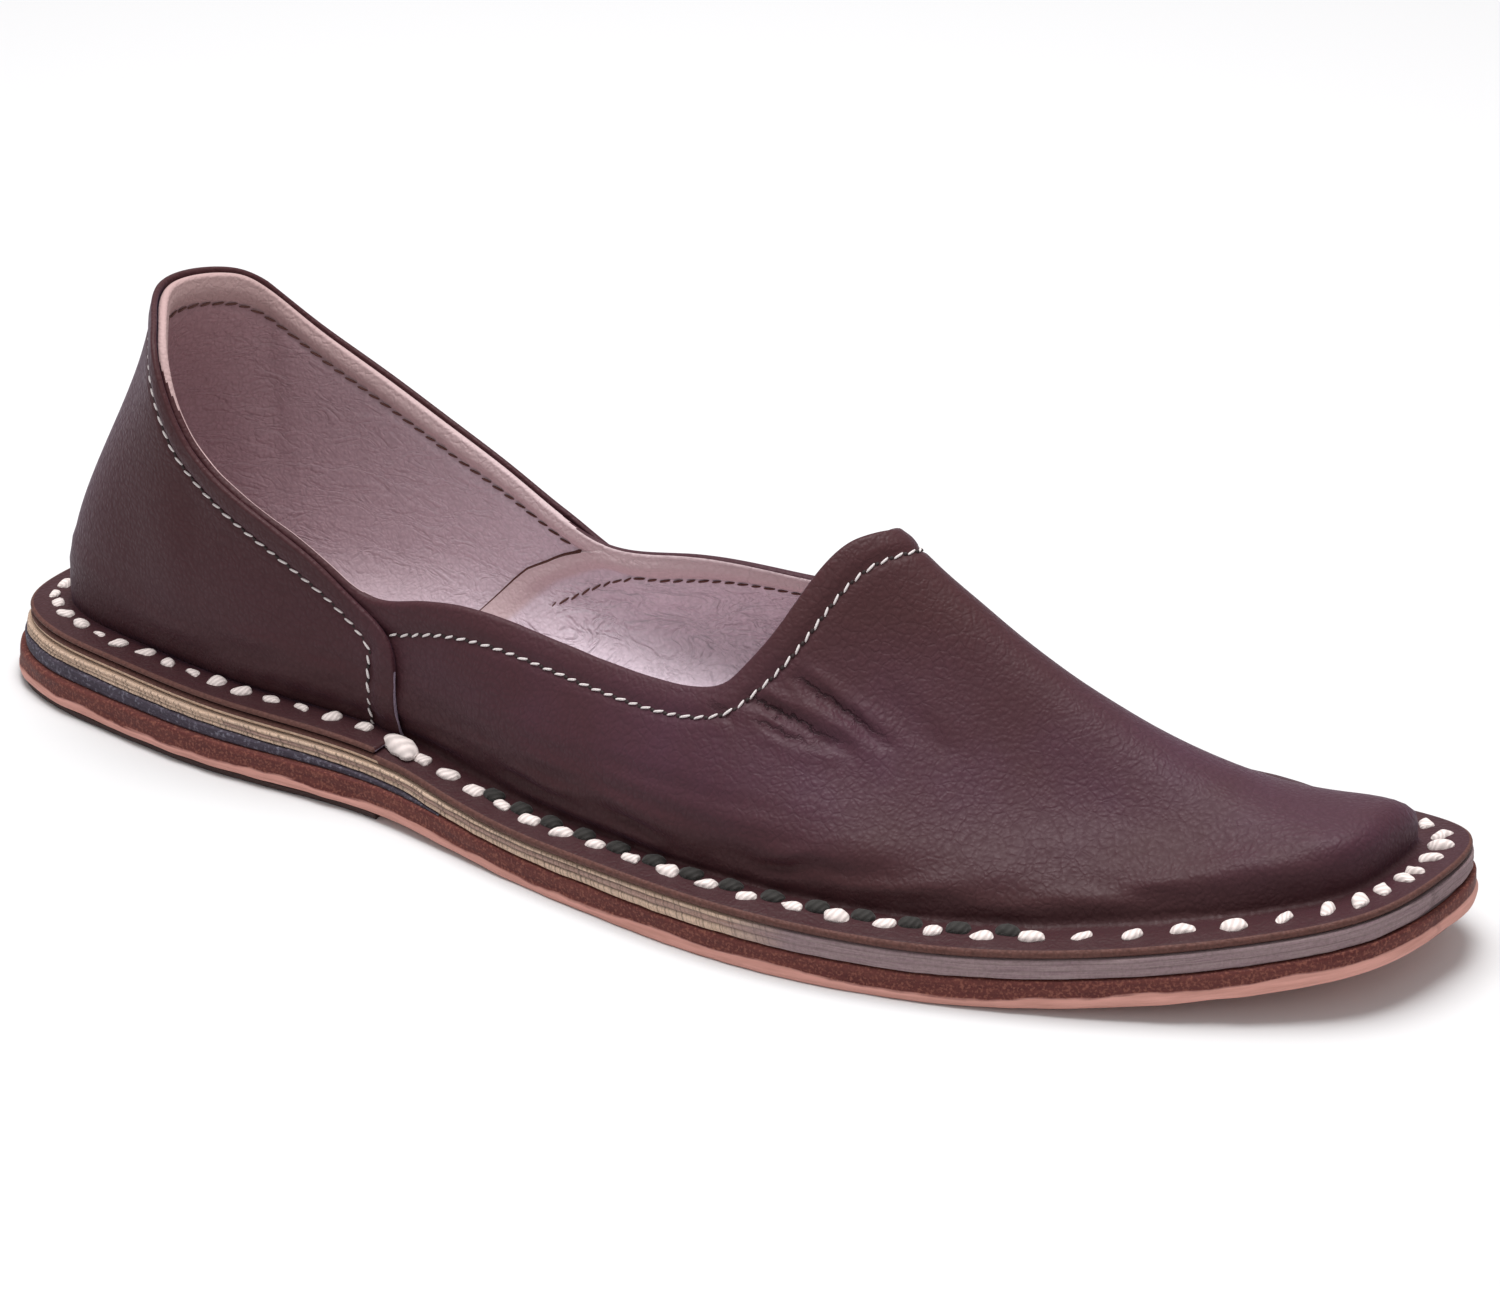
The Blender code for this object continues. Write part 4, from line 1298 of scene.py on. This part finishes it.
def thread_piece(name, thread, lines, sizes, lift, holes=None, share=1.0):
    """Machine stitches along lines of points and normals, as one piece, with the needle's holes, dark pits of painted
    shade, as another.
    """
    work = stitch_mesh()
    pits = stitch_mesh()
    thick = sizes.thread_thick
    for points, normals in lines:
        run = run_along(points)
        count = max(2, int(round(run[-1] / sizes.thread_pitch)))
        for k in range(count):
            w = (k + 0.5) * run[-1] / count
            here, up, front, back = (
                np.array([np.interp(at, run, values[:, c]) for c in range(3)])
                for at, values in ((w, points), (w, normals), (w + 0.0005, points), (w - 0.0005, points)))
            up /= np.linalg.norm(up)
            jitter = 1.0 + 0.10 * math.sin(k * 2.399)
            stitch(work, here + up * lift, front - back, up,
                   (sizes.thread_length * share * jitter, thick, thick * 0.62), 0.15, 0.00030, (8, 6))
            if holes is not None:
                # Painted shade: each needle's hole is a dark pit sunk into the thread line.
                ahead = (front - back) / np.linalg.norm(front - back)
                spot = here + ahead * sizes.thread_pitch * 0.5 + up * (lift - HOLE_DEEP)
                stitch(pits, spot, ahead, up, NEEDLE_HOLE, 0.0, 0.0, (6, 5))
    finish_piece(work, name, (thread,))
    if holes is not None:
        finish_piece(pits, "needle_holes", (holes,))


def lap_thread_line(last, side, inset):
    """Thread line of the vamp's lining along its rear edge on one side: shares and drops."""
    down_share = np.linspace(0.03, 0.93, 60)
    back = lap_back(down_share)
    start = LAP_STARTS[side]
    sign = 1.0 if side == "near" else -1.0
    along = -back * LAP_PACE
    down = down_share * last.height(start - sign * back)
    ahead = unit(np.column_stack((np.gradient(along), np.gradient(down))))
    along = along + ahead[:, 1] * inset
    down = down - ahead[:, 0] * inset
    share = start + sign * along / LAP_PACE
    keep = down < last.height(share) - 0.004
    return share[keep], down[keep]


class MOJARI_OT_thread(bpy.types.Operator):
    """White machine thread along the vamp's and the quarter's edges, and brown thread on the lining"""
    bl_idname = "mojari.thread"
    bl_label = "Machine thread"

    def execute(self, context):
        sizes, colours, last = kit(context)
        inset = sizes.margin + THREAD_IN
        near, far = LAP_STARTS["near"], LAP_STARTS["far"]

        def line(share, down, out):
            point, normal = last.surface(share, down[:, None])
            return point[:, 0] + normal[:, 0] * out, normal[:, 0] * (1.0 if out >= 0.0 else -1.0)

        def even(start, end, down, out):
            return line(np.linspace(start, end, 700), np.full(700, down), out)

        white = [even(QUARTER_EDGES["near"]["base"] - 0.004, 1.0 - QUARTER_EDGES["far"]["base"] + 0.004,
                      sizes.margin, 0.0)]
        white += [line(*quarter_thread_line(last, sizes, side), last.gap + sizes.quarter_wall)
                  for side in ("near", "far")]
        thread_piece("edge_thread", material("white_thread", twisted_cord, colours.thread, 3.0, 0.0001), white, sizes,
                     -0.00020, material("needle_hole_shade", edge_leather, HOLE_SHADE_TONE))
        brown = [even(far + 0.020 - 1.0, near - 0.020, inset, -last.wall - 0.00008),
                 even(near + 0.002, far - 0.002, inset, -last.wall - 0.00070)]
        brown += [line(*lap_thread_line(last, side, inset), -last.wall - 0.00085) for side in ("near", "far")]
        thread_piece("lining_thread", material("brown_thread", twisted_cord, colours.lining_thread, 3.0, 0.0001),
                     brown, sizes, -0.00018, share=1.25)
        return {"FINISHED"}


class MOJARI_OT_cord(bpy.types.Operator):
    """Thick cotton cord that sews the turned-out edge to the sole"""
    bl_idname = "mojari.cord"
    bl_label = "Edge cord"

    def execute(self, context):
        sizes, colours, last = kit(context)
        around, pitch = np.array(CORD_PITCH).T
        white = stitch_mesh()
        dark = stitch_mesh()
        lap = last.gap + sizes.quarter_wall

        def stand_at(share, inset, side):
            spot, outward = last.edge_at(np.array([share * side]))
            spot, outward = spot[0], np.append(outward[0], 0.0)
            return spot - outward[:2] * inset, outward, np.array((-outward[1], outward[0], 0.0)) * side

        for side, quarter, place in ((1.0, QUARTER_EDGES["near"], 0.004), (-1.0, QUARTER_EDGES["far"], 0.0045)):
            k = 0
            while place < 0.4985:
                step = np.interp(place, around, pitch / 1000.0) / last.round
                at_step = 0.0 <= quarter["base"] + step * 0.5 - place < step
                wobble = math.sin(k * 2.4 + side) * 0.5 + math.sin(k * 5.1) * 0.5
                here, outward, ahead = stand_at(quarter["base"] + 0.004 if at_step else place,
                                                0.0047 + 0.0004 * wobble, side)
                level = last.flange_top(here[0]) + (lap if place < quarter["base"] - 0.003 else 0.0)
                size = (1.0 + 0.12 * math.sin(k * 1.7 + 0.6)) * (0.84 if place < 0.165 else 1.0)
                shape = (sizes.cord_length * size, sizes.cord_width * size, sizes.cord_height * size)
                slope = (last.flange_top(here[0] + 0.002) - last.flange_top(here[0] - 0.002)) / 0.004
                if at_step:
                    shape = STEP_STITCH
                    level += lap * 0.5
                    ahead = ahead + outward * 0.45
                crossed = smooth_step(place, 0.452, 0.478)
                turn = ahead * (1.0 - 0.75 * crossed) + outward * (-0.22 + 0.12 * wobble - 0.8 * crossed)
                stitch(white, (*here, level + 0.0001), turn, (-slope, 0.0, 1.0), shape,
                       0.28 + 0.22 * math.sin(k * 3.3), 0.00050 * math.sin(k * 4.7 + side), (18, 12), 0.00042)
                if quarter["base"] + 0.03 < place < 0.385:
                    here, outward, ahead = stand_at(place + step * 0.5, last.flange - 0.0030, side)
                    stitch(dark, (*here, last.flange_top(here[0]) + 0.0001), ahead, UP, WAXED_STITCH, 0.10, 0.0,
                           (12, 8), 0.00025)
                place += step
                k += 1
        finish_piece(white, "edge_cord", (material("cotton_cord", twisted_cord, colours.cord, 2.6, 0.00016),))
        finish_piece(dark, "waxed_cord", (material("waxed_cord", twisted_cord, colours.dark_cord, 2.2, 0.0003),))
        return {"FINISHED"}


class MOJARI_OT_stage(bpy.types.Operator):
    """Pale floor, soft studio light and the camera"""
    bl_idname = "mojari.stage"
    bl_label = "Stage"

    def execute(self, context):
        colours = context.scene.mojari_colours
        work = bmesh.new()
        bmesh.ops.create_grid(work, x_segments=8, y_segments=8, size=3.0)
        for vert in work.verts:
            vert.co.z = -0.0001
        mesh = bpy.data.meshes.new("floor")
        work.to_mesh(mesh)
        work.free()
        mesh.materials.append(material("studio_floor", Nodes.finish, colours.floor, 0.9))
        floor = bpy.data.objects.new("floor", mesh)
        context.scene.collection.objects.link(floor)

        world = bpy.data.worlds.new("studio")
        world.use_nodes = True
        sky = world.node_tree.nodes["Background"].inputs
        sky["Color"].default_value = (1.0, 0.985, 0.99, 1.0)
        sky["Strength"].default_value = 0.52
        context.scene.world = world
        context.scene.view_settings.view_transform = "Standard"
        lamps = (
            ("overhead", (-0.06, 0.06, 1.10), (0.0, 0.0, 0.02), 0.80, 15.5),
            ("front_soft", (0.45, -0.95, 0.75), (0.02, 0.0, 0.03), 0.50, 0.9),
        )
        for name, place, aim, size, power in lamps:
            lamp = bpy.data.lights.new(name, "AREA")
            lamp.shape = "DISK"
            lamp.size = size
            lamp.energy = power
            thing = bpy.data.objects.new(name, lamp)
            thing.location = place
            thing.rotation_mode = "QUATERNION"
            thing.rotation_quaternion = (Vector(aim) - Vector(place)).to_track_quat("-Z", "Y")
            context.scene.collection.objects.link(thing)

        lens = bpy.data.cameras.new("camera")
        lens.sensor_fit = "HORIZONTAL"
        lens.sensor_width = 36.0
        lens.lens = 127.85
        lens.clip_start = 0.01
        lens.clip_end = 20.0
        camera = bpy.data.objects.new("camera", lens)
        azimuth = math.radians(30.12)
        elevation = math.radians(26.30)
        back = Vector((math.sin(azimuth) * math.cos(elevation), -math.cos(azimuth) * math.cos(elevation),
                       math.sin(elevation)))
        right = Vector((math.cos(azimuth), math.sin(azimuth), 0.0))
        over = back.cross(right)
        target = Vector((0.0, 0.0, 0.030))
        distance = 0.953
        camera.location = target + back * distance
        camera.rotation_mode = "QUATERNION"
        aim = -back + right * 0.00842 + over * 0.00101
        camera.rotation_quaternion = aim.to_track_quat("-Z", "Y")
        context.scene.collection.objects.link(camera)
        context.scene.camera = camera
        return {"FINISHED"}


class MOJARI_PT_pieces(bpy.types.Panel):
    """Lists the pieces of the shoe"""
    bl_label = "Mojari"
    bl_idname = "MOJARI_PT_pieces"
    bl_space_type = "VIEW_3D"
    bl_region_type = "UI"
    bl_category = "Mojari"

    def draw(self, context):
        for operator in OPERATORS:
            self.layout.operator(operator.bl_idname)
        for group in (context.scene.mojari_sizes, context.scene.mojari_colours):
            for name in group.__annotations__:
                self.layout.prop(group, name)


OPERATORS = (MOJARI_OT_stage, MOJARI_OT_sole, MOJARI_OT_upper, MOJARI_OT_quarter, MOJARI_OT_thread,
             MOJARI_OT_cord)
CLASSES = (MojariSizes, MojariColours) + OPERATORS + (MOJARI_PT_pieces,)


def register():
    """Adds the classes and the scene's settings."""
    for made in CLASSES:
        bpy.utils.register_class(made)
    bpy.types.Scene.mojari_sizes = PointerProperty(type=MojariSizes)
    bpy.types.Scene.mojari_colours = PointerProperty(type=MojariColours)


def unregister():
    """Takes them away again."""
    del bpy.types.Scene.mojari_colours
    del bpy.types.Scene.mojari_sizes
    for made in reversed(CLASSES):
        bpy.utils.unregister_class(made)


def main():
    """Builds the stage and every piece in order."""
    register()
    bpy.ops.mojari.stage()
    bpy.ops.mojari.sole()
    bpy.ops.mojari.upper()
    bpy.ops.mojari.quarter()
    bpy.ops.mojari.thread()
    bpy.ops.mojari.cord()


if __name__ == "__main__":
    main()
